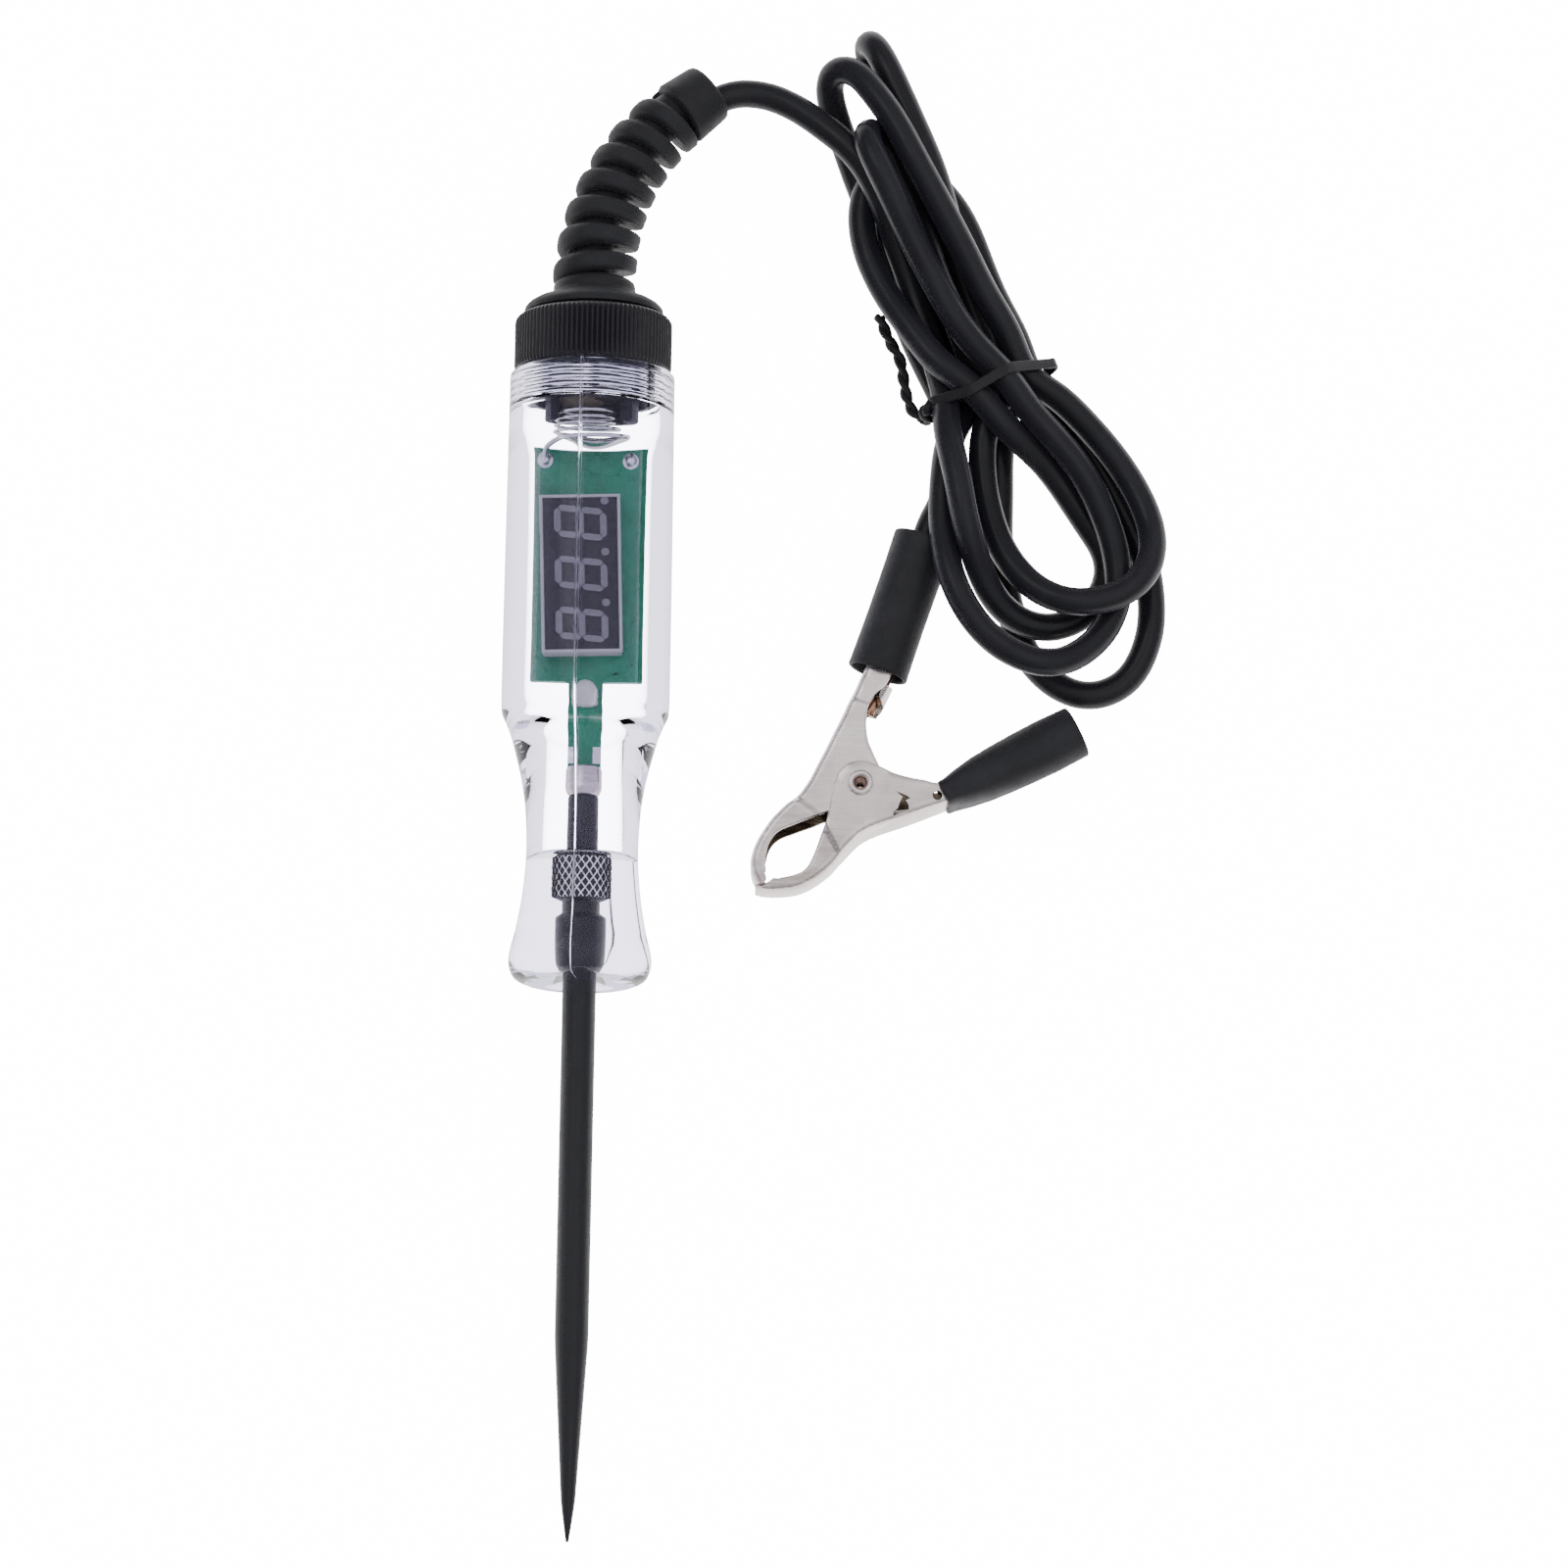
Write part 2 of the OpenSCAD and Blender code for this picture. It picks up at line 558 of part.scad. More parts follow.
module screw_cap() color(BLACK) difference() {
    union() {
        on_axis(cap_front + 0.4) linear_extrude(pen_len - cap_front - 1.6) cap_outline();
        turned([[0, spigot_front], [spigot_r, spigot_front], [spigot_r, cap_front],
            [cap_core_r, cap_front], [cap_core_r, pen_len - 0.9], [cap_core_r - 0.3, pen_len - 0.4],
            [cap_core_r - 0.8, pen_len], [0, pen_len]]);
    }
    turned([[0, spigot_front - slack], [cap_recess_r, spigot_front - slack],
        [cap_recess_r, pen_len - cap_wall], [cap_hole_r, pen_len - cap_wall],
        [cap_hole_r, pen_len + slack], [0, pen_len + slack]]);
}

// Places a shape drawn round Z at an angle along the strain relief's bend.
module on_bend(angle) translate([0, y_of(relief_start), axis_z]) rotate([0, relief_roll, 0])
    translate([relief_bend_r, 0, 0]) rotate([0, 0, -angle]) translate([-relief_bend_r, 0, 0])
        rotate([-90, 0, 0]) children();

module relief_rib(r) rotate_extrude() polygon([[0, -relief_rib_t / 2],
    [r - 0.7, -relief_rib_t / 2], [r, -relief_rib_t / 2 + 0.7], [r, relief_rib_t / 2 - 0.9],
    [r - 0.9, relief_rib_t / 2], [0, relief_rib_t / 2]]);

module strain_relief() color(BLACK) difference() {
    union() {
        turned([[0, plug_front], [plug_r - 0.8, plug_front], [plug_r, plug_front + 0.8],
            [plug_r, flange_rear - plug_flange_t], [plug_flange_r, flange_rear - plug_flange_t],
            [plug_flange_r, flange_rear], [plug_r, flange_rear], [plug_r, dome_front],
            [dome_r, dome_front], [dome_r, dome_front + 0.5], [dome_r - 0.5, dome_front + 1.4],
            [dome_r - 1.6, dome_front + 2.2], [neck_r, dome_rear], [neck_r, dome_rear + 1.2],
            [neck_r - 0.8, relief_start], [0, relief_start]]);
        on_bend(0) rotate([90, 0, 0]) translate([relief_bend_r, 0, 0]) rotate([0, 0, 180])
            rotate([0, 0, -relief_bend]) rotate_extrude(angle = relief_bend)
                translate([relief_bend_r, 0]) circle(r = core_r);
        for (k = [0:relief_ribs - 1]) let (f = k / (relief_ribs - 1))
            on_bend(mix(relief_pitch * 0.55, relief_bend * PI / 180 * relief_bend_r
                - relief_pitch * 0.35, f) / relief_bend_r * 180 / PI)
                relief_rib(mix(rib_first_r, rib_last_r, f));
        on_bend(relief_bend) cylinder(r1 = collar_r1, r2 = collar_r2, h = collar_len);
    }
    // pocket that seats the contact spring, open on its upper side
    translate([spring_shift, 0, 0]) on_axis(plug_front - slack)
        cylinder(r = pocket_r, h = pocket_depth + slack);
    translate([spring_shift - pocket_r, y_of(plug_front) - slack, axis_z])
        cube([2 * pocket_r, pocket_depth + slack, plug_r + 1]);
}

// ---- cord ----

module cord_lead() color(BLACK) swept(lead_route, cord_d / 2);

module cord_tail() color(BLACK) swept(tail_route, cord_d / 2);

module level_band(z0, z1, outline) translate([0, 0, z0]) linear_extrude(z1 - z0)
    polygon(outline);

// The hank: a flat body, the strand over the boots and the strand on top.
module cord_hank() color(BLACK) {
    level_band(hank_under, hank_top, hank_outline);
    level_band(arch_under, arch_top, arch_outline);
    level_band(arch_under, ridge_top, ridge_outline);
}

module tie_section(w, h, r) {
    square([w - 2 * r, h], center = true);
    square([w, h - 2 * r], center = true);
    for (x = [-1, 1], y = [-1, 1]) translate([x * (w / 2 - r), y * (h / 2 - r)]) circle(r = r);
}

module twist_tie() color(BLACK) {
    mid = (hank_top + hank_under) / 2;
    high = hank_top - hank_under + 0.1;
    translate([tie_at[0], tie_at[1], mid]) rotate([90, 0, tie_dir])
        linear_extrude(tie_w, center = true) difference() {
            tie_section(2 * tie_half + 2 * tie_t, high + 2 * tie_t, tie_corner + tie_t);
            tie_section(2 * tie_half, high, tie_corner);
        }
    swept(tie_tail, tie_tail_r);
}

// ---- clip ----

module at_clip() translate([clip_at[0], clip_at[1], clip_z]) children();

// The space inside a half-depth curve that runs along direction dir.
module depth_band(curve, dir) rotate([0, 0, dir]) rotate([90, 0, 0])
    linear_extrude(clip_reach, center = true)
        polygon(concat(curve, [for (p = reversed(curve)) [p[0], -p[1]]]));

// A folded sheet half: its web follows outer, its two cheeks reach across to inner.
// t is the sheet's thickness, signed toward the open side.
module channel(outer, inner, depth, hollow, dir, far, t) difference() {
    intersection() {
        linear_extrude(clip_reach, center = true) polygon(concat(outer, inner));
        depth_band(depth, dir);
    }
    intersection() {
        linear_extrude(clip_reach, center = true) polygon(concat(inset(outer, t), far));
        depth_band(hollow, dir);
    }
    cylinder(r = rivet_r + rivet_gap, h = clip_reach, center = true);
}

module clip_jaw_cord() color(STEEL) at_clip() {
    channel(jaw_cord_outer, jaw_cord_inner, cord_depth, cord_hollow,
        cord_arm_dir, [[-12, -25], [25, -25], [25, 30], [5, 30]], sheet);
    rotate([0, 0, cord_arm_dir]) translate([crimp_at, crimp_shift, 0]) rotate([0, 90, 0])
        difference() {
            cylinder(r = crimp_r, h = crimp_len, center = true);
            cylinder(r = crimp_r - sheet, h = crimp_len + 1, center = true);
            translate([0, crimp_r + 0.2, 0]) cube(2 * crimp_r, center = true);
        }
}

module clip_jaw_free() color(STEEL) at_clip() difference() {
    channel(jaw_free_outer, jaw_free_inner, free_depth, free_hollow, free_arm_dir,
        [[-25, -12], [-25, 25], [25, 25], [25, 5]], -sheet);
    translate([slot_at[0], slot_at[1], ear_half]) cube([slot_size[0], slot_size[1], 3], true);
    translate([eye_at[0], eye_at[1], ear_half]) cylinder(r = eye_r, h = 4, center = true);
}

module clip_rivet() color(STEEL) at_clip() difference() {
    union() {
        cylinder(r = rivet_r, h = 2 * ear_half + slack, center = true);
        for (s = [-1, 1]) translate([0, 0, s * (ear_half + rivet_head_t / 2)])
            cylinder(r = rivet_head_r, h = rivet_head_t, center = true);
    }
    cylinder(r = rivet_hole_r, h = clip_reach, center = true);
}

function coil_ring(c, e) = [for (k = [0:wire_sides - 1])
    c + coil_wire / 2 * (e * cos(360 * k / wire_sides) + [0, 0, 1] * sin(360 * k / wire_sides))];

// Legs run out from the coil along each handle, against the inside of its web.
module clip_spring() color(GREY) at_clip() {
    turn = 360 * (coil_turns - 1) + 154;
    from = 250;
    rise = coil_wire * 1.04;
    n = coil_turns * coil_steps;
    low = -rise * coil_turns / 2;
    through_rings(concat(
        [coil_ring([8.6, -2.5, low], [-0.4, 0.9, 0]), coil_ring([3, -3.2, low], [0, 1, 0])],
        [for (i = [0:n]) let (a = 270 - i / n * turn, c = coil_r * [cos(a), sin(a), 0])
            coil_ring(c + [0, 0, low + rise * i / coil_steps], [-cos(a), -sin(a), 0])],
        [coil_ring([-2.6, 3.4, low + rise * coil_turns], [0.9, 0.4, 0]),
            coil_ring([-1.6, 8.2, low + rise * coil_turns], [0.9, -0.2, 0])]));
}

module clip_boot_cord() color(BLACK) at_clip() {
    d = [cos(cord_arm_dir), sin(cord_arm_dir), 0];
    c = [for (f = [0:0.25:1]) [2.3, 16.6, 0] + d * boot_len * f];
    r = boot_cord_r;
    q = r - boot_wall;
    sleeve_rings(concat([for (p = c) ring(p, d, r, r, 2, boot_sides)],
        [for (p = reversed(c)) ring(p, d, q, q, 2, boot_sides)]));
}

module clip_boot_free() color(BLACK) at_clip() {
    d = [cos(free_arm_dir), sin(free_arm_dir), 0];
    f = [0, 0.05, 0.15, 0.3, 0.45, 0.6, 0.8, 1];
    a = [2, 2.1, 2.7, 3.3, 3.6, 3.8, 3.9, boot_free_r];
    b = [4.6, 4.6, 4.4, 4.2, 4, 3.8, 3.7, boot_free_r];
    n = [4, 3.6, 3, 2.5, 2.2, 2, 2, 2];
    at = function (i) [11.6, -1.1, 0] + d * boot_len * f[i];
    last = len(f) - 1;
    sleeve_rings(concat([for (i = [0:last]) ring(at(i), d, a[i], b[i], n[i], boot_sides)],
        [for (i = [last:-1:0])
            ring(at(i), d, a[i] - boot_wall, b[i] - boot_wall, n[i], boot_sides)]));
}

module cord_conductor() color(COPPER) at_clip() rotate([0, 0, cord_arm_dir])
    translate([core_from, core_shift, 0]) rotate([0, 90, 0])
        cylinder(r = bare_core_r, h = core_to - core_from);

handle_shell();
probe_rod();
probe_sleeve();
probe_terminal();
circuit_board();
edge_pads();
display_case();
display_face();
display_digits();
display_pins();
indicator_lamp();
solder_joints();
controller_chip();
controller_legs();
voltage_regulator();
chip_resistors();
chip_capacitors();
contact_spring();
cable_contact();
screw_cap();
strain_relief();
cord_lead();
cord_hank();
cord_tail();
cord_conductor();
twist_tie();
clip_jaw_cord();
clip_jaw_free();
clip_rivet();
clip_spring();
clip_boot_cord();
clip_boot_free();
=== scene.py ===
import json
import math

import bmesh
import bpy
import numpy as np
from mathutils import Matrix, Vector


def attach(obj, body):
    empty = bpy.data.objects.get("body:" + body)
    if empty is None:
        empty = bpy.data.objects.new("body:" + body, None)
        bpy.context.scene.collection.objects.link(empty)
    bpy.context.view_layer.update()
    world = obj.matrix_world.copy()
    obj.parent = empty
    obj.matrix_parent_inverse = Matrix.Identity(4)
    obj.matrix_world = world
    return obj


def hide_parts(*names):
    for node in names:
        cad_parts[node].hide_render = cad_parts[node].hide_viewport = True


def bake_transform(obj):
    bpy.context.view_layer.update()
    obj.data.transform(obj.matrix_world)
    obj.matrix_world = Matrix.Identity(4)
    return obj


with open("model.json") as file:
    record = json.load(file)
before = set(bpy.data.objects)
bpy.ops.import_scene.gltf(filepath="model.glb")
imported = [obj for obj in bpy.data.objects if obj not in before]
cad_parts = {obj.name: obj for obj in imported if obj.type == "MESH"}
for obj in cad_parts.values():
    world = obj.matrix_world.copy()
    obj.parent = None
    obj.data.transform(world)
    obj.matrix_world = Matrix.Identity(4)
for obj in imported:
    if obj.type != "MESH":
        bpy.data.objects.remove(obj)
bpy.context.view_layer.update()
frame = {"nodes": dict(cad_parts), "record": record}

# All sizes below are in millimetres, in the CAD's own frame, and add_mesh turns
# them into metres. The pen's axis runs along Y at this height; a station is the
# distance from the probe point.
MM = 0.001
AXIS_Z = 11.8
HALF_PEN = 87.0


def y_of(station):
    return station - HALF_PEN


def around(sides):
    return np.arange(sides) * 2 * math.pi / sides


def add_object(name, data):
    ob = bpy.data.objects.new(name, data)
    bpy.context.scene.collection.objects.link(ob)
    return ob


# ---- camera, light and floor ----

VIEW_TILT = math.radians(78)
VIEW_ROLL = math.radians(1.03)
VIEW_WIDTH = 219.2
VIEW_DISTANCE = 1500.0
VIEW_CENTRE = Vector((28.0, 20.3, AXIS_Z))


def add_camera():
    up = Vector((0, math.sin(VIEW_TILT), math.cos(VIEW_TILT)))
    right = Vector((1, 0, 0)) * math.cos(VIEW_ROLL) + up * math.sin(VIEW_ROLL)
    back = Vector((0, -math.cos(VIEW_TILT), math.sin(VIEW_TILT)))
    turn = Matrix((right, back.cross(right), back)).transposed().to_4x4()
    lens = bpy.data.cameras.new("camera")
    lens.sensor_width = 36
    lens.lens = 36 * VIEW_DISTANCE / VIEW_WIDTH
    lens.clip_start = 0.05
    camera = add_object("camera", lens)
    camera.matrix_world = Matrix.Translation((VIEW_CENTRE + back * VIEW_DISTANCE) * MM) @ turn
    bpy.context.scene.camera = camera


def add_light(name, at, toward, size, power):
    lamp = bpy.data.lights.new(name, "AREA")
    lamp.shape = "RECTANGLE"
    lamp.size, lamp.size_y = size
    lamp.energy = power
    ob = add_object(name, lamp)
    ob.location = at
    ob.rotation_euler = (Vector(toward) - Vector(at)).to_track_quat("-Z", "Y").to_euler()


def feed(tree, socket, value):
    if isinstance(value, bpy.types.NodeSocket):
        tree.links.new(value, socket)
    else:
        socket.default_value = value


def math_node(tree, operation, *values):
    node = tree.nodes.new("ShaderNodeMath")
    node.operation = operation
    for socket, value in zip(node.inputs, values):
        feed(tree, socket, value)
    return node.outputs[0]


def colour_mix(tree, fac, a, b):
    node = tree.nodes.new("ShaderNodeMix")
    node.data_type = "RGBA"
    for index, value in ((0, fac), (6, a), (7, b)):
        feed(tree, node.inputs[index], value)
    return node.outputs[2]


def ray_kinds(tree):
    """Which rays came straight here, and which ones through clear plastic, and how."""
    rays = tree.nodes.new("ShaderNodeLightPath").outputs
    bounced = math_node(tree, "ADD", rays["Diffuse Depth"], rays["Glossy Depth"])
    straight = math_node(tree, "LESS_THAN", bounced, 0.5)
    clear = math_node(tree, "GREATER_THAN", rays["Transmission Depth"], 0.5)
    thin_wall = math_node(tree, "GREATER_THAN", rays["Transmission Depth"], 3.5)
    lit = math_node(tree, "LESS_THAN", rays["Diffuse Depth"], 0.5)
    solid = math_node(tree, "MULTIPLY", clear, math_node(tree, "SUBTRACT", 1.0, thin_wall))
    mirrored = math_node(tree, "MULTIPLY", math_node(tree, "MULTIPLY", clear, lit),
        math_node(tree, "SUBTRACT", 1.0, straight))
    inside = math_node(tree, "MULTIPLY", solid, mirrored)
    return straight, solid, inside, mirrored, rays["Is Glossy Ray"]


def add_world():
    """A soft overhead dome: brightest straight up, dimmer low down and to the left."""
    world = bpy.data.worlds.new("world")
    world.use_nodes = True
    tree = world.node_tree
    where = tree.nodes.new("ShaderNodeTexCoord").outputs["Generated"]
    height = tree.nodes.new("ShaderNodeSeparateXYZ")
    tree.links.new(where, height.inputs[0])
    ramp = tree.nodes.new("ShaderNodeValToRGB")
    tree.links.new(height.outputs["Z"], ramp.inputs[0])
    stops = [(0.0, 0.30), (0.35, 0.34), (0.75, 0.62), (0.97, 1.15)]
    ramp.color_ramp.elements[0].position = stops[0][0]
    ramp.color_ramp.elements[1].position = stops[-1][0]
    for position, _ in stops[1:-1]:
        ramp.color_ramp.elements.new(position)
    for element, (_, level) in zip(ramp.color_ramp.elements, stops):
        element.color = (level, level, level * 1.02, 1)
    sideways = tree.nodes.new("ShaderNodeMapRange")
    tree.links.new(height.outputs["X"], sideways.inputs["Value"])
    for end, where_to, level in (("Min", -0.14, 0.62), ("Max", 0.16, 1.2)):
        sideways.inputs["From " + end].default_value = where_to
        sideways.inputs["To " + end].default_value = level
    dome = tree.nodes.new("ShaderNodeVectorMath")
    dome.operation = "SCALE"
    tree.links.new(ramp.outputs["Color"], dome.inputs["Vector"])
    tree.links.new(sideways.outputs["Result"], dome.inputs["Scale"])
    straight, _, inside, mirrored, _ = ray_kinds(tree)
    caught = colour_mix(tree, mirrored, dome.outputs["Vector"], (0.95, 0.92, 1.2, 1))
    tinted = colour_mix(tree, inside, caught, (1.5, 1.45, 2.0, 1))
    tree.links.new(colour_mix(tree, straight, tinted, (3.2, 3.1, 4.1, 1)),
        tree.nodes["Background"].inputs["Color"])
    bpy.context.scene.world = world


add_camera()
add_world()
add_light("key", (-0.45, 0.45, 1.1), (0.03, 0.02, 0), (0.6, 0.6), 1.6)

# ---- materials ----


def rgba(colour):
    return colour if isinstance(colour, bpy.types.NodeSocket) else (*colour, 1.0)


class Nodes:
    """A short way to build one material's node tree."""

    def __init__(self, name):
        self.mat = bpy.data.materials.new(name)
        self.mat.use_nodes = True
        self.tree = self.mat.node_tree
        self.shader = self.tree.nodes["Principled BSDF"]
        self.output = self.tree.nodes["Material Output"]
        self.where = self.tree.nodes.new("ShaderNodeTexCoord").outputs["Object"]

    def add(self, kind, values=(), **settings):
        node = self.tree.nodes.new(kind)
        for key, value in settings.items():
            setattr(node, key, value)
        for socket, value in dict(values).items():
            feed(self.tree, node.inputs[socket], value)
        return node

    def feed(self, socket, value):
        feed(self.tree, self.shader.inputs[socket], value)

    def stretched(self, scale, turn=(0, 0, 0)):
        return self.add("ShaderNodeMapping",
            {"Vector": self.where, "Scale": scale, "Rotation": turn}).outputs["Vector"]

    def noise(self, scale, detail=3.0, rough=0.55, where=None):
        return self.add("ShaderNodeTexNoise", {"Vector": where or self.where, "Scale": scale,
            "Detail": detail, "Roughness": rough}).outputs["Fac"]

    def spread(self, fac, low, high, lo=0.3, hi=0.7):
        return self.add("ShaderNodeMapRange", {"Value": fac, "From Min": lo, "From Max": hi,
            "To Min": low, "To Max": high}).outputs["Result"]

    def blend(self, fac, a, b):
        return colour_mix(self.tree, fac, rgba(a), rgba(b))

    def wear_and_shade(self):
        return self.add("ShaderNodeAttribute", attribute_name="wear_and_shade").outputs["Fac"]

    def bump(self, height, distance, strength=1.0, normal=None):
        values = {"Height": height, "Distance": distance * MM, "Strength": strength}
        if normal is not None:
            values["Normal"] = normal
        return self.add("ShaderNodeBump", values).outputs["Normal"]


def moulded(name, colour, rough, lift=1.5, grain=2500, depth=0.01, specular=0.5,
        coat=0.0):
    """A plastic or rubber: a fine moulded grain, faint handling marks, uneven gloss."""
    n = Nodes(name)
    cloud = n.noise(140, 4)
    lighter = tuple(min(1.0, c * lift + 0.002) for c in colour)
    n.feed("Base Color",
        n.blend(n.spread(cloud, 0, 1, 0.35, 0.75), colour, lighter))
    n.feed("Roughness", n.spread(n.noise(420, 5, 0.65), rough - 0.08, rough + 0.08))
    n.feed("Normal", n.bump(n.noise(grain, 3), depth))
    n.shader.inputs["Specular IOR Level"].default_value = specular
    n.shader.inputs["Coat Weight"].default_value = coat
    n.shader.inputs["Coat Roughness"].default_value = 0.12
    return n.mat


def metal(name, colour, rough, streaks=(250, 9000, 250)):
    """A plated or bare metal with fine rolling scratches and slight tarnish."""
    n = Nodes(name)
    fine = n.noise(1.0, 4, 0.6, n.stretched(streaks))
    cloud = n.noise(90, 4)
    duller = tuple(c * 0.8 for c in colour)
    n.feed("Base Color",
        n.blend(n.spread(cloud, 0, 1, 0.4, 0.7), colour, duller))
    n.shader.inputs["Metallic"].default_value = 1.0
    n.feed("Roughness", n.spread(fine, rough - 0.08, rough + 0.08))
    n.feed("Normal", n.bump(fine, 0.006))
    return n.mat


def plated_sheet():
    """Nickel-plated sheet: brushed across, gently wavy, duller in patches, with painted shade: dark
    brown on the inside faces of the fold, faint on the free jaw's cheeks.
    """
    n = Nodes("nickel")
    fine = n.noise(1.0, 4, 0.65, n.stretched((420, 7000, 1500), (0, 0, 0.25)))
    coarse = n.noise(1.0, 3, 0.6, n.stretched((120, 1400, 700), (0, 0, 0.25)))
    patch = n.noise(75, 3, 0.5)
    tone = n.blend(n.spread(patch, 0, 1, 0.4, 0.6), (0.80, 0.715, 0.685), (0.56, 0.48, 0.455))
    plated = n.blend(n.spread(coarse, 0, 0.5, 0.45, 0.75), tone, (0.96, 0.90, 0.86))
    # painted shade: the mask darkens the inside faces of the fold to dark brown, and the free jaw's
    # cheeks slightly
    n.feed("Base Color", n.blend(n.wear_and_shade(), plated, (0.23, 0.19, 0.14)))
    n.shader.inputs["Metallic"].default_value = 1.0
    n.feed("Roughness", n.spread(fine, 0.16, 0.34))
    wavy = n.bump(n.noise(130, 2), 0.5)
    n.feed("Normal", n.bump(fine, 0.014, normal=wavy))
    return n.mat


def clear_plastic():
    """Clear moulded plastic. Light passes straight through it onto what is inside."""
    n = Nodes("clear_plastic")
    s = n.shader
    s.inputs["Base Color"].default_value = (0.90, 0.895, 0.98, 1)
    s.inputs["Specular Tint"].default_value = (0.25, 0.25, 0.28, 1)
    s.inputs["IOR"].default_value = 1.49
    s.inputs["Transmission Weight"].default_value = 1.0
    haze = n.spread(n.noise(260, 5, 0.6), 0.0, 0.02, 0.5, 0.8)
    n.feed("Roughness", math_node(n.tree, "MULTIPLY_ADD", n.wear_and_shade(), 0.45, haze))
    through = n.add("ShaderNodeBsdfTransparent", {"Color": (0.95, 0.95, 0.985, 1)})
    shadow = n.add("ShaderNodeLightPath").outputs["Is Shadow Ray"]
    mix = n.add("ShaderNodeMixShader", {"Fac": shadow})
    n.tree.links.new(s.outputs[0], mix.inputs[1])
    n.tree.links.new(through.outputs[0], mix.inputs[2])
    n.tree.links.new(mix.outputs[0], n.output.inputs["Surface"])
    return n.mat


def board_green():
    """Solder mask over woven glass: faint weave and a cloudy tone."""
    n = Nodes("board_green")
    weave = n.add("ShaderNodeTexWave", {"Vector": n.where, "Scale": 900.0, "Distortion": 1.0})
    cloud = n.noise(230, 3)
    n.feed("Base Color",
        n.blend(n.spread(cloud, 0, 1), (0.004, 0.16, 0.075), (0.012, 0.25, 0.13)))
    n.feed("Roughness", n.spread(n.noise(500), 0.22, 0.38))
    n.feed("Normal", n.bump(weave.outputs["Fac"], 0.004))
    n.shader.inputs["Specular IOR Level"].default_value = 0.3
    return n.mat


def knurled_steel():
    """Blackened steel whose raised edges have rubbed bright."""
    n = Nodes("black_steel")
    grit = n.noise(1.0, 4, 0.6, n.stretched((2500, 500, 2500)))
    rubbed = math_node(n.tree, "MULTIPLY", n.wear_and_shade(), n.spread(grit, 0.75, 1.25))
    bright = n.spread(rubbed, 0, 1, 0.45, 0.75)
    n.feed("Base Color",
        n.blend(bright, (0.012, 0.012, 0.013), (0.88, 0.87, 0.86)))
    n.feed("Metallic", n.spread(bright, 0, 1, 0, 1))
    n.feed("Roughness", n.spread(n.noise(300, 5, 0.7), 0.3, 0.48))
    n.feed("Normal", n.bump(grit, 0.004))
    n.shader.inputs["Specular IOR Level"].default_value = 0.25
    return n.mat


MATS = {
    "clear_plastic": clear_plastic(),
    "black_steel": knurled_steel(),
    "black_sleeve": moulded("black_sleeve", (0.010, 0.010, 0.010), 0.42, specular=0.25, coat=0.1),
    "nickel": plated_sheet(),
    "board_green": board_green(),
    "solder": metal("solder", (0.75, 0.74, 0.73), 0.25, streaks=(1500, 1500, 1500)),
    "display_grey": moulded("display_grey", (0.42, 0.41, 0.43), 0.4, 1.15),
    "display_black": moulded("display_black", (0.026, 0.023, 0.028), 0.3, 1.25, 4000, 0.004,
        specular=0.15),
    "segment_grey": moulded("segment_grey", (0.185, 0.175, 0.2), 0.42, 1.15, specular=0.2),
    "lamp_white": moulded("lamp_white", (0.55, 0.55, 0.55), 0.25, 1.2),
    "chip_black": moulded("chip_black", (0.02, 0.02, 0.022), 0.5),
    "capacitor_tan": moulded("capacitor_tan", (0.42, 0.30, 0.17), 0.45, 1.2),
    "spring_steel": metal("spring_steel", (0.70, 0.69, 0.68), 0.2, streaks=(3000, 3000, 3000)),
    "brass_contact": metal("brass_contact", (0.12, 0.09, 0.05), 0.55),
    "cap_black": moulded("cap_black", (0.007, 0.007, 0.008), 0.34, specular=0.25),
    "relief_black": moulded("relief_black", (0.010, 0.010, 0.011), 0.55, grain=3500, depth=0.02,
        specular=0.28),
    "cord_black": moulded("cord_black", (0.007, 0.007, 0.008), 0.30, grain=1500, depth=0.012,
        specular=0.22),
    "copper": metal("copper", (0.62, 0.36, 0.24), 0.35, streaks=(4000, 4000, 4000)),
    "tie_black": moulded("tie_black", (0.008, 0.008, 0.008), 0.45, specular=0.25),
    "boot_black": moulded("boot_black", (0.011, 0.011, 0.012), 0.52, grain=3500, depth=0.02,
        specular=0.28),
}

# ---- mesh helpers ----


def curve_through(points, step):
    """Points at about one step along a smooth curve through every given point."""
    p = np.asarray(points, float)
    p = np.vstack([2 * p[0] - p[1], p, 2 * p[-1] - p[-2]])
    out = []
    for a, b, c, d in zip(p[:-3], p[1:-2], p[2:-1], p[3:]):
        knots = np.cumsum([0] + [max(1e-6, np.linalg.norm(v)) ** 0.5 for v in (b - a, c - b, d - c)])
        t0, t1, t2, t3 = knots
        count = max(1, int(round(np.linalg.norm(c - b) / step)))
        for t in np.linspace(t1, t2, count, endpoint=False):
            ab = ((t1 - t) * a + (t - t0) * b) / (t1 - t0)
            bc = ((t2 - t) * b + (t - t1) * c) / (t2 - t1)
            cd = ((t3 - t) * c + (t - t2) * d) / (t3 - t2)
            left = ((t2 - t) * ab + (t - t0) * bc) / (t2 - t0)
            right = ((t3 - t) * bc + (t - t1) * cd) / (t3 - t1)
            out.append(((t2 - t) * left + (t - t1) * right) / (t2 - t1))
    out.append(p[-2])
    return np.array(out)


def resample(path, step):
    """The same line with evenly spaced points."""
    along = np.r_[0, np.cumsum(np.linalg.norm(np.diff(path, axis=0), axis=1))]
    at = np.linspace(0, along[-1], int(along[-1] / step) + 1)
    return np.column_stack([np.interp(at, along, path[:, k]) for k in range(3)]), at


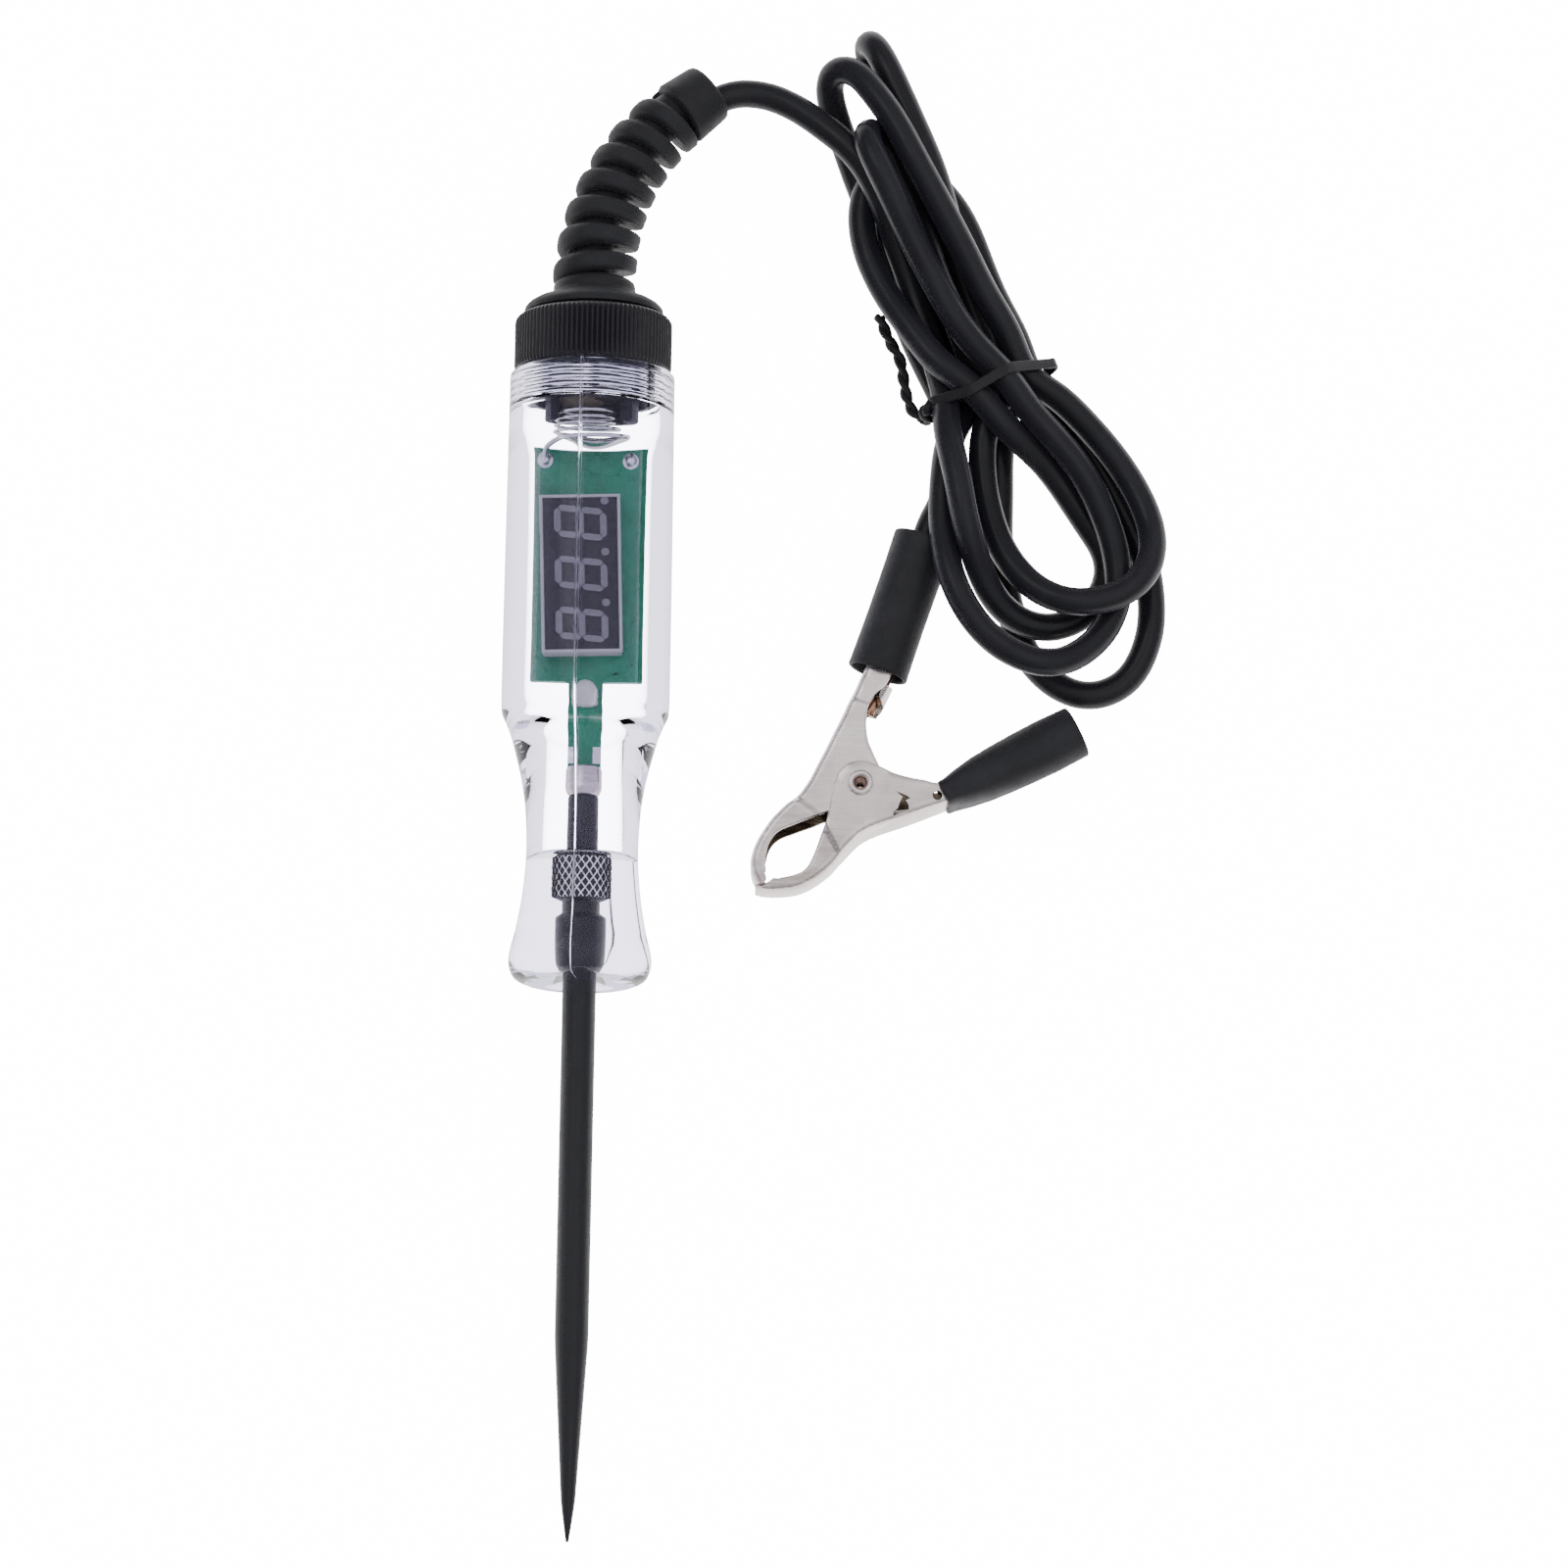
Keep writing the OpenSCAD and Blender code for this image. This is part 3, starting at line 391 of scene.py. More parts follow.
def add_mesh(name, verts, faces, body, slot, sharp=32, replaces=(), wear_and_shade=None):
    """One piece from millimetre points, smooth apart from its sharp edges."""
    mesh = bpy.data.meshes.new(name)
    mesh.from_pydata([tuple(c * MM for c in v) for v in verts], [], [tuple(f) for f in faces])
    if wear_and_shade is not None:
        layer = mesh.attributes.new("wear_and_shade", "FLOAT", "POINT")
        layer.data.foreach_set("value", np.asarray(wear_and_shade, np.float32))
    bm = bmesh.new()
    bm.from_mesh(mesh)
    bmesh.ops.remove_doubles(bm, verts=bm.verts, dist=2e-6)
    bmesh.ops.dissolve_degenerate(bm, edges=bm.edges, dist=1e-6)
    bmesh.ops.recalc_face_normals(bm, faces=bm.faces)
    for f in bm.faces:
        f.smooth = True
    bm.to_mesh(mesh)
    bm.free()
    mesh.set_sharp_from_angle(angle=math.radians(sharp))
    mesh.materials.append(MATS[slot])
    ob = add_object(name, mesh)
    if body:
        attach(ob, body)
    if replaces:
        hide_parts(*replaces)
    return ob


class Shape:
    """Gathers points and faces of one piece that may have several closed shells."""

    def __init__(self):
        self.verts = []
        self.faces = []

    def grid(self, rows, close_rows=False, cap_ends=True):
        """Rings of points joined row to row; each ring closes on itself."""
        base, n, m = len(self.verts), len(rows[0]), len(rows)
        for row in rows:
            self.verts.extend(tuple(p) for p in row)
        for i in range(m if close_rows else m - 1):
            j = (i + 1) % m
            for k in range(n):
                l = (k + 1) % n
                self.faces.append((base + i * n + k, base + i * n + l, base + j * n + l,
                    base + j * n + k))
        if cap_ends and not close_rows:
            self.faces.append(tuple(base + k for k in reversed(range(n))))
            self.faces.append(tuple(base + (m - 1) * n + k for k in range(n)))
        return self


def pen_ring(radius, station, sides=96, angles=None):
    """A ring round the pen's axis; radius may be a function of the angle."""
    turns = angles if angles is not None else around(sides)
    r = np.array([radius(a) for a in turns]) if callable(radius) else np.full(len(turns), radius)
    return np.column_stack([r * np.cos(turns), np.full(len(turns), y_of(station)),
        AXIS_Z + r * np.sin(turns)])


def pen_lathe(profile, sides=96):
    """Rings for a [radius, station] outline; a radius near zero closes on the axis."""
    return [pen_ring(max(r, 0.001), s, sides) for r, s in profile]


def upright_lathe(profile, centre, sides=32):
    """Rings for a [radius, height] outline round an upright axis."""
    turns = around(sides)
    return [np.column_stack([centre[0] + max(r, 0.001) * np.cos(turns),
        centre[1] + max(r, 0.001) * np.sin(turns), np.full(sides, float(h))]) for r, h in profile]


def frames(path, up=(0, 0, 1)):
    """For each point of a path: its direction and two directions across it."""
    path = np.asarray(path, float)
    t = np.gradient(path, axis=0)
    t /= np.linalg.norm(t, axis=1)[:, None]
    out = []
    u = np.asarray(up, float)
    for d in t:
        u = u - d * np.dot(u, d)
        if np.linalg.norm(u) < 1e-6:
            u = np.cross(d, (1, 0, 0))
        u = u / np.linalg.norm(u)
        out.append((d, np.cross(d, u), u))
    return out


def sweep(path, section, up=(0, 0, 1)):
    """Rings for a section of [across, up] points carried along a path."""
    return [[np.asarray(p) + s * a + u * b for a, b in section]
        for p, (_, s, u) in zip(path, frames(path, up))]


def circle(radius, sides=10):
    return [(radius * math.cos(a), radius * math.sin(a)) for a in around(sides)]


def rounded_box(w, h, r, steps=3):
    pts = []
    for cx, cy, a0 in ((w / 2 - r, h / 2 - r, 0), (r - w / 2, h / 2 - r, 90),
            (r - w / 2, r - h / 2, 180), (w / 2 - r, r - h / 2, 270)):
        for k in range(steps + 1):
            a = math.radians(a0 + 90 * k / steps)
            pts.append((cx + r * math.cos(a), cy + r * math.sin(a)))
    return pts


def ease(x):
    x = min(1.0, max(0.0, x))
    return x * x * (3 - 2 * x)

# ---- cord ----

CORD_D = 4.0
# The cord's centreline, loop by loop, from the strain relief to the clip's boot.
CORD_ROUTE = [
    # from the strain relief
    (14.8, 118.1, 9), (17, 120, 8.9), (20, 121, 8.7), (24, 120.7, 8.6), (28, 119, 8.8),
    (32, 116.2, 9.2), (35.4, 113.3, 9.6), (38, 110.2, 9.6), (40.2, 106.3, 8.6), (42.5, 101, 6.6),
    (45, 95, 5.4), (47, 89, 5.2), (49, 83, 5.4),
    # through the tie
    (50.5, 77, 6.6),
    # first lower loop
    (50.5, 72.6, 8.6), (51.2, 68, 10.4), (52, 64, 11.4), (52.7, 59.5, 11.6), (53.9, 55, 10.6),
    (55.2, 51.5, 8.4), (57.8, 47.5, 6.2), (60.9, 45.4, 5), (63.4, 44.7, 4.6), (66, 44.8, 4.4),
    (69, 46.2, 4), (71.8, 48.9, 3.2), (73.4, 52.5, 2.4), (73.2, 56.5, 2), (71, 59.7, 2.1),
    (67.9, 64.2, 2.8), (64.3, 68.7, 4.4), (60, 72, 6.6), (56.5, 75, 8),
    # through the tie
    (54, 78, 8.4),
    # first upper loop
    (48.5, 82, 8.9), (44.6, 87.5, 8), (41.7, 92, 7), (39.4, 97, 6.4), (38.3, 101.5, 6),
    (38.3, 106, 5.9), (39.8, 110, 5.6), (42, 112, 3.7), (45, 112, 1.9), (48, 110, 1.9),
    (50.6, 107, 1.9), (52.8, 103, 1.9), (54.6, 98, 1.9), (56.6, 93, 1.9), (59.5, 87.5, 2.1),
    # through the tie
    (61.8, 81, 2.4),
    # second lower loop
    (67, 75.5, 2), (71.5, 69.5, 1.9), (75, 63, 1.9), (78, 57, 1.9), (79.4, 50.5, 1.9),
    (79.2, 44.4, 1.9), (76.1, 37.9, 1.9), (70.5, 35.7, 1.9), (65.3, 37.9, 1.9), (61.7, 42.3, 1.9),
    (59.2, 49.8, 1.9), (57.8, 57.4, 1.9), (57.7, 64.5, 2), (57.5, 70.5, 2.1),
    # through the tie
    (58, 79.5, 2.1),
    # second upper loop
    (54.5, 86.5, 2.3), (52, 92.5, 3), (49.5, 98.5, 4.6), (48.4, 103.5, 7.2), (46.5, 110, 9),
    (44, 116.5, 8.8), (41.6, 122.3, 8.4), (39.6, 126.7, 8), (37.9, 129.6, 6.2), (37.5, 129.3, 3.4),
    (38.9, 125, 1.9), (41.8, 119.5, 3.2), (44.2, 113.5, 4.8), (46, 109, 5.3), (47.5, 104.5, 3.6),
    (48.5, 98.5, 2), (50, 92, 1.9), (51.5, 86.5, 2.2),
    # through the tie
    (54, 78, 3.2),
    # third lower loop
    (51.5, 74, 4.4), (50.3, 70.5, 6), (49.8, 66, 7.4), (49.6, 60, 8.4), (49.9, 56.3, 9.3),
    (50.7, 51.7, 10.6), (52.3, 47.6, 11), (54.8, 43.7, 11), (57.5, 41.1, 11), (60.8, 39.3, 10.9),
    (64, 38.5, 10.4), (66.8, 39, 9.4), (69.5, 40.8, 8), (72, 43.4, 6.8), (73.9, 47.3, 5.9),
    (74.4, 52, 5.6), (73.6, 57, 5.7), (71.5, 62.5, 5.9), (69, 67, 6.6), (65, 71.5, 7.8),
    (61.5, 75, 8.7),
    # through the tie
    (58, 80, 9.2),
    # third upper loop
    (54.5, 83.5, 9.3), (51, 88, 9.4), (48, 93.5, 9.4), (45, 99, 10.6), (42.5, 104, 12.4),
    (40.6, 108, 13.2), (38.9, 111.6, 13), (38.1, 114.2, 11.8), (38.8, 115.8, 9.6), (40.4, 115, 7.4),
    (42, 112.4, 5.8), (43.3, 109, 5.4), (44.6, 105.5, 5.8), (46, 100.5, 6), (48, 94, 6),
    (51, 88, 6), (53, 82.5, 5.8),
    # through the tie
    (57, 79, 5.6),
    # fourth lower loop
    (54.5, 74, 5.4), (54.3, 69.3, 5.4), (54.9, 64.4, 5.6), (56.2, 59.5, 6.2), (58, 55.2, 7.2),
    (60.5, 51.7, 8.2), (62.8, 49.5, 8.9), (65.5, 48.1, 9.4), (68.3, 47.5, 9.4), (71, 47.7, 9.4),
    (75.8, 49.3, 9.3), (79, 53.7, 8), (79.2, 58.8, 6.4), (77.2, 64.2, 5.7), (74, 69.3, 5.6),
    (69.8, 74.2, 5.7), (65.3, 78.5, 5.9),
    # through the tie
    (61, 81, 6.2),
    # fourth upper loop
    (58.5, 87, 6.9), (55, 92.5, 8.2), (52, 98, 10), (48.5, 104, 11.8), (45, 110, 12.6),
    (41.8, 115.8, 12.4), (38.7, 120.5, 11.6), (35.8, 124.3, 10), (33.2, 124.8, 8.2), (32.5, 123, 6),
    (33.3, 120.2, 3.8), (35, 116, 2.4), (36.9, 111, 1.9), (39.5, 104.5, 1.9), (41.6, 98, 1.9),
    (43.8, 91.5, 1.9), (46.5, 85, 1.9),
    # through the tie
    (50.4, 76.5, 2),
    # to the clip
    (50.6, 73, 2.2), (50.5, 67.5, 3.2), (49.4, 62.6, 4.4), (48.2, 60, 4.8), (47.3, 57.4, 4.9),
    (45.6, 52.1, 4.9), (43.9, 46.8, 4.9),
]
LEAD_HELD = 28.0
TAIL_HELD = 22.0
TABLE_GAP = CORD_D / 2


def settle(route, rounds=240, step=1.5):
    """Lets crossing strands push each other apart, as they do when they lie on a table."""
    rest, along = resample(curve_through(route, 0.5), step)
    n = len(rest)
    moved = np.zeros_like(rest)
    free = np.clip(np.minimum(along - LEAD_HELD, along[-1] - TAIL_HELD - along) / 12, 0, 1)[:, None]
    first, second = np.triu_indices(n, int(9 / step))
    weight = np.array([0.6, 0.6, 1.0])
    for _ in range(rounds):
        p = rest + moved
        apart = p[first] - p[second]
        gap = np.linalg.norm(apart, axis=1)
        near = gap < CORD_D
        a, b = first[near], second[near]
        reach = np.maximum(gap[near], 1e-3)[:, None]
        push = (CORD_D - reach) * 0.5 * (apart[near] / reach) * weight
        total = np.zeros_like(rest)
        count = np.zeros(n)
        np.add.at(total, a, push)
        np.add.at(total, b, -push)
        np.add.at(count, a, 1)
        np.add.at(count, b, 1)
        moved += total / np.maximum(count, 1)[:, None]
        moved *= free
        for _ in range(2):
            moved[1:-1] = 0.5 * moved[1:-1] + 0.25 * (moved[2:] + moved[:-2])
        p = rest + moved
        p[:, 2] = np.maximum(p[:, 2], TABLE_GAP)
        moved = p - rest
    line = rest + moved
    for _ in range(3):
        smooth = line.copy()
        smooth[1:-1] = 0.5 * line[1:-1] + 0.25 * (line[2:] + line[:-2])
        line = line * (1 - free) + smooth * free
    line[:, 2] = np.maximum(line[:, 2], TABLE_GAP)
    return resample(curve_through(line, 0.6), 0.6)[0]


def add_cord(line):
    data = bpy.data.curves.new("cord", "CURVE")
    data.dimensions = "3D"
    data.bevel_depth = CORD_D / 2 * MM
    data.bevel_resolution = 5
    data.use_fill_caps = True
    spline = data.splines.new("POLY")
    spline.points.add(len(line) - 1)
    spline.points.foreach_set("co", np.column_stack([line * MM, np.ones(len(line))]).ravel())
    spline.use_smooth = True
    data.materials.append(MATS["cord_black"])
    ob = add_object("cord", data)
    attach(ob, "cable")
    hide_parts("cord_lead", "cord_hank", "cord_tail")
    return ob


cord_line = settle(CORD_ROUTE)
cord = add_cord(cord_line)

# ---- twist tie round the hank ----

TIE_AT = np.array([55.8, 79.0])
TIE_TURN = math.radians(22)
TIE_REACH = 13.0
TIE_W = 1.5
TIE_T = 0.45
TWIST_PITCH = 5.2
TWIST_OFFSET = 0.34
TWIST_STRAND = (1.1, 0.85, 0.35)
# Where the tie bulges away from the strands, as (along the tie, height).
TIE_SLACK = (8.2, 5.0)


def bundle_crossings(line):
    """Where the strands cross the tie's plane, as (along the tie, height)."""
    along = np.array([math.cos(TIE_TURN), math.sin(TIE_TURN)])
    across = np.array([-along[1], along[0]])
    side = (line[:, :2] - TIE_AT) @ across
    found = []
    for i in range(len(line) - 1):
        if side[i] * side[i + 1] <= 0 and side[i] != side[i + 1]:
            f = side[i] / (side[i] - side[i + 1])
            p = line[i] + (line[i + 1] - line[i]) * f
            s = float((p[:2] - TIE_AT) @ along)
            if abs(s) < TIE_REACH:
                found.append((s, float(p[2])))
    return np.array(found)


def add_twist_tie(line):
    strands = np.vstack([bundle_crossings(line), [TIE_SLACK]])
    loop = []
    reach = CORD_D / 2 + TIE_T / 2 + 0.03
    for k in range(96):
        a = 2 * math.pi * k / 96
        d = np.array([math.cos(a), math.sin(a)])
        s, z = strands[np.argmax(strands @ d)] + d * reach
        z = max(z, TIE_T / 2 + 0.02)
        slack = 0.25 * math.sin(5 * a) * max(0.0, math.sin(a))
        loop.append(((s + 0.3 * slack, z + slack * 0.4), d))
    along = np.array([math.cos(TIE_TURN), math.sin(TIE_TURN), 0])
    across = np.array([-along[1], along[0], 0])
    centre = np.array([TIE_AT[0], TIE_AT[1], 0])
    section = rounded_box(TIE_W, TIE_T, 0.2)
    rings = []
    for (s, z), d in loop:
        out = along * d[0] + np.array([0, 0, 1]) * d[1]
        wander = 0.5 * math.sin(s * 0.5) + 0.8 * ease((s - 2) / 8)
        at = centre + along * s + np.array([0, 0, z]) + across * wander
        rings.append([at + across * w + out * h for w, h in section])
    shape = Shape().grid(rings, close_rows=True)
    s, z = min(loop, key=lambda v: v[0][0])[0]
    start = centre + along * s + np.array([0, 0, z]) + across * 0.5 * math.sin(s * 0.5)
    tail, run = resample(curve_through([start + (0.6, 0.4, 0), start + (-0.7, -0.9, 0.6),
        (47.6, 74.6, 5.0), (45.6, 75.6, 5.0), (44.5, 77.7, 4.6), (43.9, 80.8, 4.2),
        (43.3, 83.8, 3.8), (41.7, 86.9, 3.2), (40.3, 90.4, 2.6)], 0.3), 0.3)
    for phase in (0, math.pi):
        strand = []
        for at, s, (_, across, up) in zip(tail, run, frames(tail)):
            a = phase + 2 * math.pi * s / TWIST_PITCH
            strand.append(at + (across * math.cos(a) + up * math.sin(a)) * TWIST_OFFSET)
        shape.grid(sweep(strand, rounded_box(*TWIST_STRAND)))
    return add_mesh("tie", shape.verts, shape.faces, "cable", "tie_black", 50,
        replaces=("twist_tie",))


tie = add_twist_tie(cord_line)

# ---- handle ----

SEAM_ANGLE = math.radians(97)
SEAM_HALF = math.radians(0.8)
THREAD_PITCH = 1.0
THREAD_DEPTH = 0.5
THREAD_ROOT = 9.58
HANDLE_OUTLINE = [(8, 78.5), (9.2, 79.1), (9.8, 80.2), (10, 81.5), (9.8, 83), (9.3, 85),
    (8.7, 88), (8.2, 91.5), (7.85, 96), (7.9, 100), (8.2, 104), (8.8, 107.5), (9.6, 110.8),
    (10.4, 113.6), (11.2, 115.6), (11.6, 116.4)]
HANDLE_BODY = [(11.7, 116.8), (11.77, 117.6), (11.8, 119), (11.8, 126),
    (11.72, 145), (11.6, 164.9), (11.55, 165.35), (11.3, 165.6)]
BORE = [(10.05, 165.6), (9.95, 165.3)]


def thread(angle, station):
    """Depth of a single-start thread, 0 at the crest and 1 at the root."""
    f = (station / THREAD_PITCH - angle / (2 * math.pi)) % 1.0
    return ease(1 - abs(2 * f - 1) * 1.25)


def seam_angles(count):
    base = [2 * math.pi * k / count for k in range(count)]
    extra = []
    for seam in (SEAM_ANGLE, SEAM_ANGLE + math.pi):
        extra += [seam + math.radians(d) for d in (-1.3, -0.8, -0.4, 0, 0.4, 0.8, 1.3)]
    kept = [a for a in base if min(abs((a - e + math.pi) % (2 * math.pi) - math.pi)
        for e in extra) > math.radians(0.7)]
    return sorted(a % (2 * math.pi) for a in kept + extra)


def add_handle():
    turns = seam_angles(144)

    def ridge(a, height):
        off = min(abs((a - s + math.pi) % (2 * math.pi) - math.pi)
            for s in (SEAM_ANGLE, SEAM_ANGLE + math.pi))
        return height * ease(1 - off / math.radians(1.0))

    def outer(r):
        return lambda a: r + ridge(a, 0.09)

    nose = curve_through([(r, s, 0) for r, s in HANDLE_OUTLINE], 0.5)
    rows = [pen_ring(r, 78.5, angles=turns) for r in (0.001, 4.5, 7.6)]
    rows += [pen_ring(outer(r), s, angles=turns) for r, s, _ in nose]
    rows += [pen_ring(outer(r), s, angles=turns) for r, s in HANDLE_BODY]
    rows += [pen_ring(r, s, angles=turns) for r, s in BORE]
    for k in range(56):
        s = 165.3 - 0.1 * k
        fade = ease((165.4 - s) / 0.5) * ease((s - 159.8) / 0.8)
        rows.append(pen_ring(lambda a: THREAD_ROOT + THREAD_DEPTH * fade * thread(a, s), s,
            angles=turns))
    inside = [(THREAD_ROOT, 159.6), (9.56, 157.5), (9.4, 156.2), (9.0, 154.8), (8.7, 153.6),
        (8.6, 152.4), (8.6, 140), (8.6, 126), (8.6, 117.6), (8.5, 116.8), (8.2, 116.1),
        (7.7, 115.5), (7.0, 115.0), (6.3, 114.4), (5.8, 113.8), (5.55, 113.1), (5.5, 112.4),
        (5.5, 106), (5.5, 96.5), (5.3, 96.1), (5.0, 96.0), (3.0, 96.0), (0.001, 96.0)]
    rows += [pen_ring(r, s, angles=turns) for r, s in inside]
    shape = Shape().grid(rows, cap_ends=True)
    on_seam = [max(0.0, 1 - abs(math.remainder(a - SEAM_ANGLE, math.pi)) / SEAM_HALF)
        for a in turns]
    return add_mesh("handle", shape.verts, shape.faces, "handle", "clear_plastic", 40,
        replaces=("handle_shell",), wear_and_shade=on_seam * len(rows))


add_handle()

# ---- probe rod, sleeve and terminal ----

ROD = [(0.001, 0), (0.16, 0.02), (0.24, 0.2), (0.85, 4.5), (1.02, 6.0), (2.28, 27), (2.35, 28.6),
    (2.35, 50), (2.35, 78), (2.35, 86.2), (2.3, 86.6), (1.8, 87.1), (1.75, 87.3), (1.75, 88.9),
    (2.3, 89.3)]
KNURL_FROM = 89.4
KNURL_TO = 95.9


def add_rod():
    sides = 240
    turns = around(sides)
    rows = [pen_ring(r, s, angles=turns) for r, s in ROD]
    wear_and_shade = [0.0] * (sides * len(ROD))
    for k in range(66):
        s = KNURL_FROM + (KNURL_TO - KNURL_FROM) * k / 65
        fade = ease((s - KNURL_FROM) / 0.3) * ease((KNURL_TO - s) / 0.3)
        lift = np.minimum(np.abs(np.sin(9 * turns + 1.9 * s)), np.abs(np.sin(9 * turns - 1.9 * s)))
        rows.append(pen_ring(0, s, angles=turns))
        r = 2.4 + 0.38 * (1 - (1 - lift) ** 2) * fade
        rows[-1][:, 0] = r * np.cos(turns)
        rows[-1][:, 2] = AXIS_Z + r * np.sin(turns)
        wear_and_shade += list((1.2 - lift * 2.1) * fade)
    back = [(2.3, 96.0), (1.5, 96.05), (1.5, 106.2), (1.3, 106.4), (0.001, 106.4)]
    rows += [pen_ring(r, s, angles=turns) for r, s in back]
    wear_and_shade += [0.0] * (sides * len(back))
    shape = Shape().grid(rows)
    return add_mesh("probe", shape.verts, shape.faces, "handle", "black_steel", 50,
        replaces=("probe_rod",), wear_and_shade=wear_and_shade)


add_rod()


def add_tube(name, profile, slot, replaces):
    shape = Shape().grid(pen_lathe(profile, 64), close_rows=True)
    return add_mesh(name, shape.verts, shape.faces, "handle", slot, 35, replaces=replaces)


add_tube("sleeve", [(1.52, 96.02), (2.05, 96.02), (2.15, 96.2), (2.16, 99), (2.13, 102),
    (2.15, 104.7), (2.02, 105.0), (1.6, 104.98), (1.52, 104.8)], "black_sleeve",
    ("probe_sleeve",))
add_tube("terminal", [(1.52, 105.1), (2.0, 105.05), (2.25, 105.3), (2.5, 105.9), (2.6, 106.4),
    (2.6, 109.0), (2.5, 109.35), (2.3, 109.4), (2.1, 109.2), (2.05, 107.2), (1.52, 106.3)],
    "nickel", ("probe_terminal",))

# ---- board details ----

BOARD_TOP = AXIS_Z + 0.2


def add_board_lines():
    """Raised solder mask over copper tracks."""
    tracks = [[(-7.2, 150.8), (-7.2, 124.5), (-5.6, 122.6), (-1.7, 120.6)],
        [(7.1, 151.4), (7.1, 131), (6.4, 129.8), (6.4, 123.6), (1.8, 120.8)],
        [(-4.4, 152.6), (-1.5, 152.6), (0.2, 150.8), (3.8, 150.8), (5.2, 152.2)],
        [(-2.2, 153.2), (3.0, 153.2)], [(2.8, 122.2), (5.2, 122.2)], [(-1.6, 118), (-1.6, 113.4)],
        [(1.6, 117), (1.6, 113.4)]]
    shape = Shape()
    for track in tracks:
        for (x0, s0), (x1, s1) in zip(track, track[1:]):
            a, b = np.array([x0, y_of(s0)]), np.array([x1, y_of(s1)])
            d = (b - a) / np.linalg.norm(b - a)
            w = np.array([-d[1], d[0]]) * 0.22
            rings = []
            for p in (a - d * 0.1, b + d * 0.1):
                rings.append([(*(p - w), BOARD_TOP - 0.02), (*(p + w), BOARD_TOP - 0.02),
                    (*(p + w * 0.7), BOARD_TOP + 0.035), (*(p - w * 0.7), BOARD_TOP + 0.035)])
            shape.grid(rings)
    return add_mesh("board_tracks", shape.verts, shape.faces, "handle", "board_green", 30)


add_board_lines()


def add_on_board(name, profile, places, sides, slot, replaces):
    """One turned shape standing on the board at each place."""
    shape = Shape()
    for x, station in places:
        shape.grid(upright_lathe([(r, BOARD_TOP + h) for r, h in profile], (x, y_of(station)),
            sides))
    return add_mesh(name, shape.verts, shape.faces, "handle", slot, 35, replaces=replaces)


JOINT = [(0.001, -0.02), (1.15, -0.02), (1.13, 0.05), (0.85, 0.2), (0.66, 0.42), (0.55, 0.68),
    (0.4, 0.8), (0.001, 0.84)]
add_on_board("big_joints", JOINT, [(-6.4, 152.7), (5.6, 152.7)], 28, "solder", ("solder_joints",))
LAMP = [(0.001, 0), (1.78, 0), (1.8, 0.1), (1.8, 0.75), (1.72, 0.82), (1.5, 0.86), (1.5, 3.0),
    (1.42, 3.5), (1.2, 3.92), (0.85, 4.25), (0.45, 4.45), (0.001, 4.5)]
add_on_board("lamp", LAMP, [(0, 119.2)], 40, "lamp_white", ("indicator_lamp",))

# ---- springs ----


CONTACT_WIRE_R = 0.3
STRAND_R = 0.36


def add_contact_spring():
    turns, steps = 5, 40
    path = [(-6.4, y_of(152.9), BOARD_TOP + 0.6), (-6.2, y_of(153.8), BOARD_TOP + 1.2)]
    for i in range(4, turns * steps + 1):
        f = i / (turns * steps)
        wide = max(0.0, 1 - f * 2.4)
        a = math.pi + 2 * math.pi * turns * f
        r = 4.0 + 1.4 * wide
        path.append((-0.9 + 1.2 * wide + r * math.cos(a), y_of(154.75 + 5.5 * f),
            AXIS_Z - r * math.sin(a)))
    line, _ = resample(curve_through(path, 0.5), 0.45)
    shape = Shape().grid(sweep(line, circle(CONTACT_WIRE_R), (0, 1, 0)))
    ob = add_mesh("coil_contact", shape.verts, shape.faces, None, "spring_steel", 60,
        replaces=("contact_spring",))
    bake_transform(ob)
    return ob


add_contact_spring()

# ---- screw cap ----

CAP_RIBS = 96
CAP_R = 11.1


def add_cap():
    sides = CAP_RIBS * 8
    turns = around(sides)

    def ribbed(r, depth):
        return lambda a: r - depth * (0.5 - 0.5 * math.cos(CAP_RIBS * a)) ** 1.5

    spigot = [(8.1, 161.0), (9.0, 161.0), (9.3, 161.2)]
    rows = [pen_ring(r, s, angles=turns) for r, s in spigot]
    for k in range(44):
        s = 161.4 + 0.1 * k
        fade = ease((s - 161.3) / 0.6) * ease((165.8 - s) / 0.5)
        rows.append(pen_ring(lambda a: 9.5 - 0.42 * fade * thread(a, s), s, angles=turns))
    grip = [(9.5, 165.88, 0), (10.55, 165.9, 0), (10.72, 166.1, 0), (10.95, 166.35, 0.15),
        (CAP_R, 166.7, 0.3), (CAP_R, 168, 0.32), (CAP_R, 170, 0.32), (CAP_R, 172.2, 0.32),
        (CAP_R, 172.9, 0.3), (11.0, 173.3, 0.2), (10.7, 173.65, 0.08), (10.3, 173.88, 0),
        (9.9, 173.98, 0), (8.6, 174, 0), (6.9, 174, 0), (6.72, 173.9, 0), (6.7, 173.6, 0),
        (6.7, 170.4, 0), (6.8, 170.2, 0), (8.0, 170.2, 0), (8.1, 170.1, 0)]
    rows += [pen_ring(ribbed(r, d), s, angles=turns) for r, s, d in grip]
    shape = Shape().grid(rows, close_rows=True)
    return add_mesh("cap", shape.verts, shape.faces, "cap", "cap_black", 45,
        replaces=("screw_cap",))


add_cap()

# ---- strain relief ----

RELIEF_START = 179.4
RELIEF_BEND_R = 33.0
RELIEF_BEND = math.radians(50)
RELIEF_ROLL = math.radians(10)
RELIEF_TURNS = 7
RELIEF_PITCH = 4.0


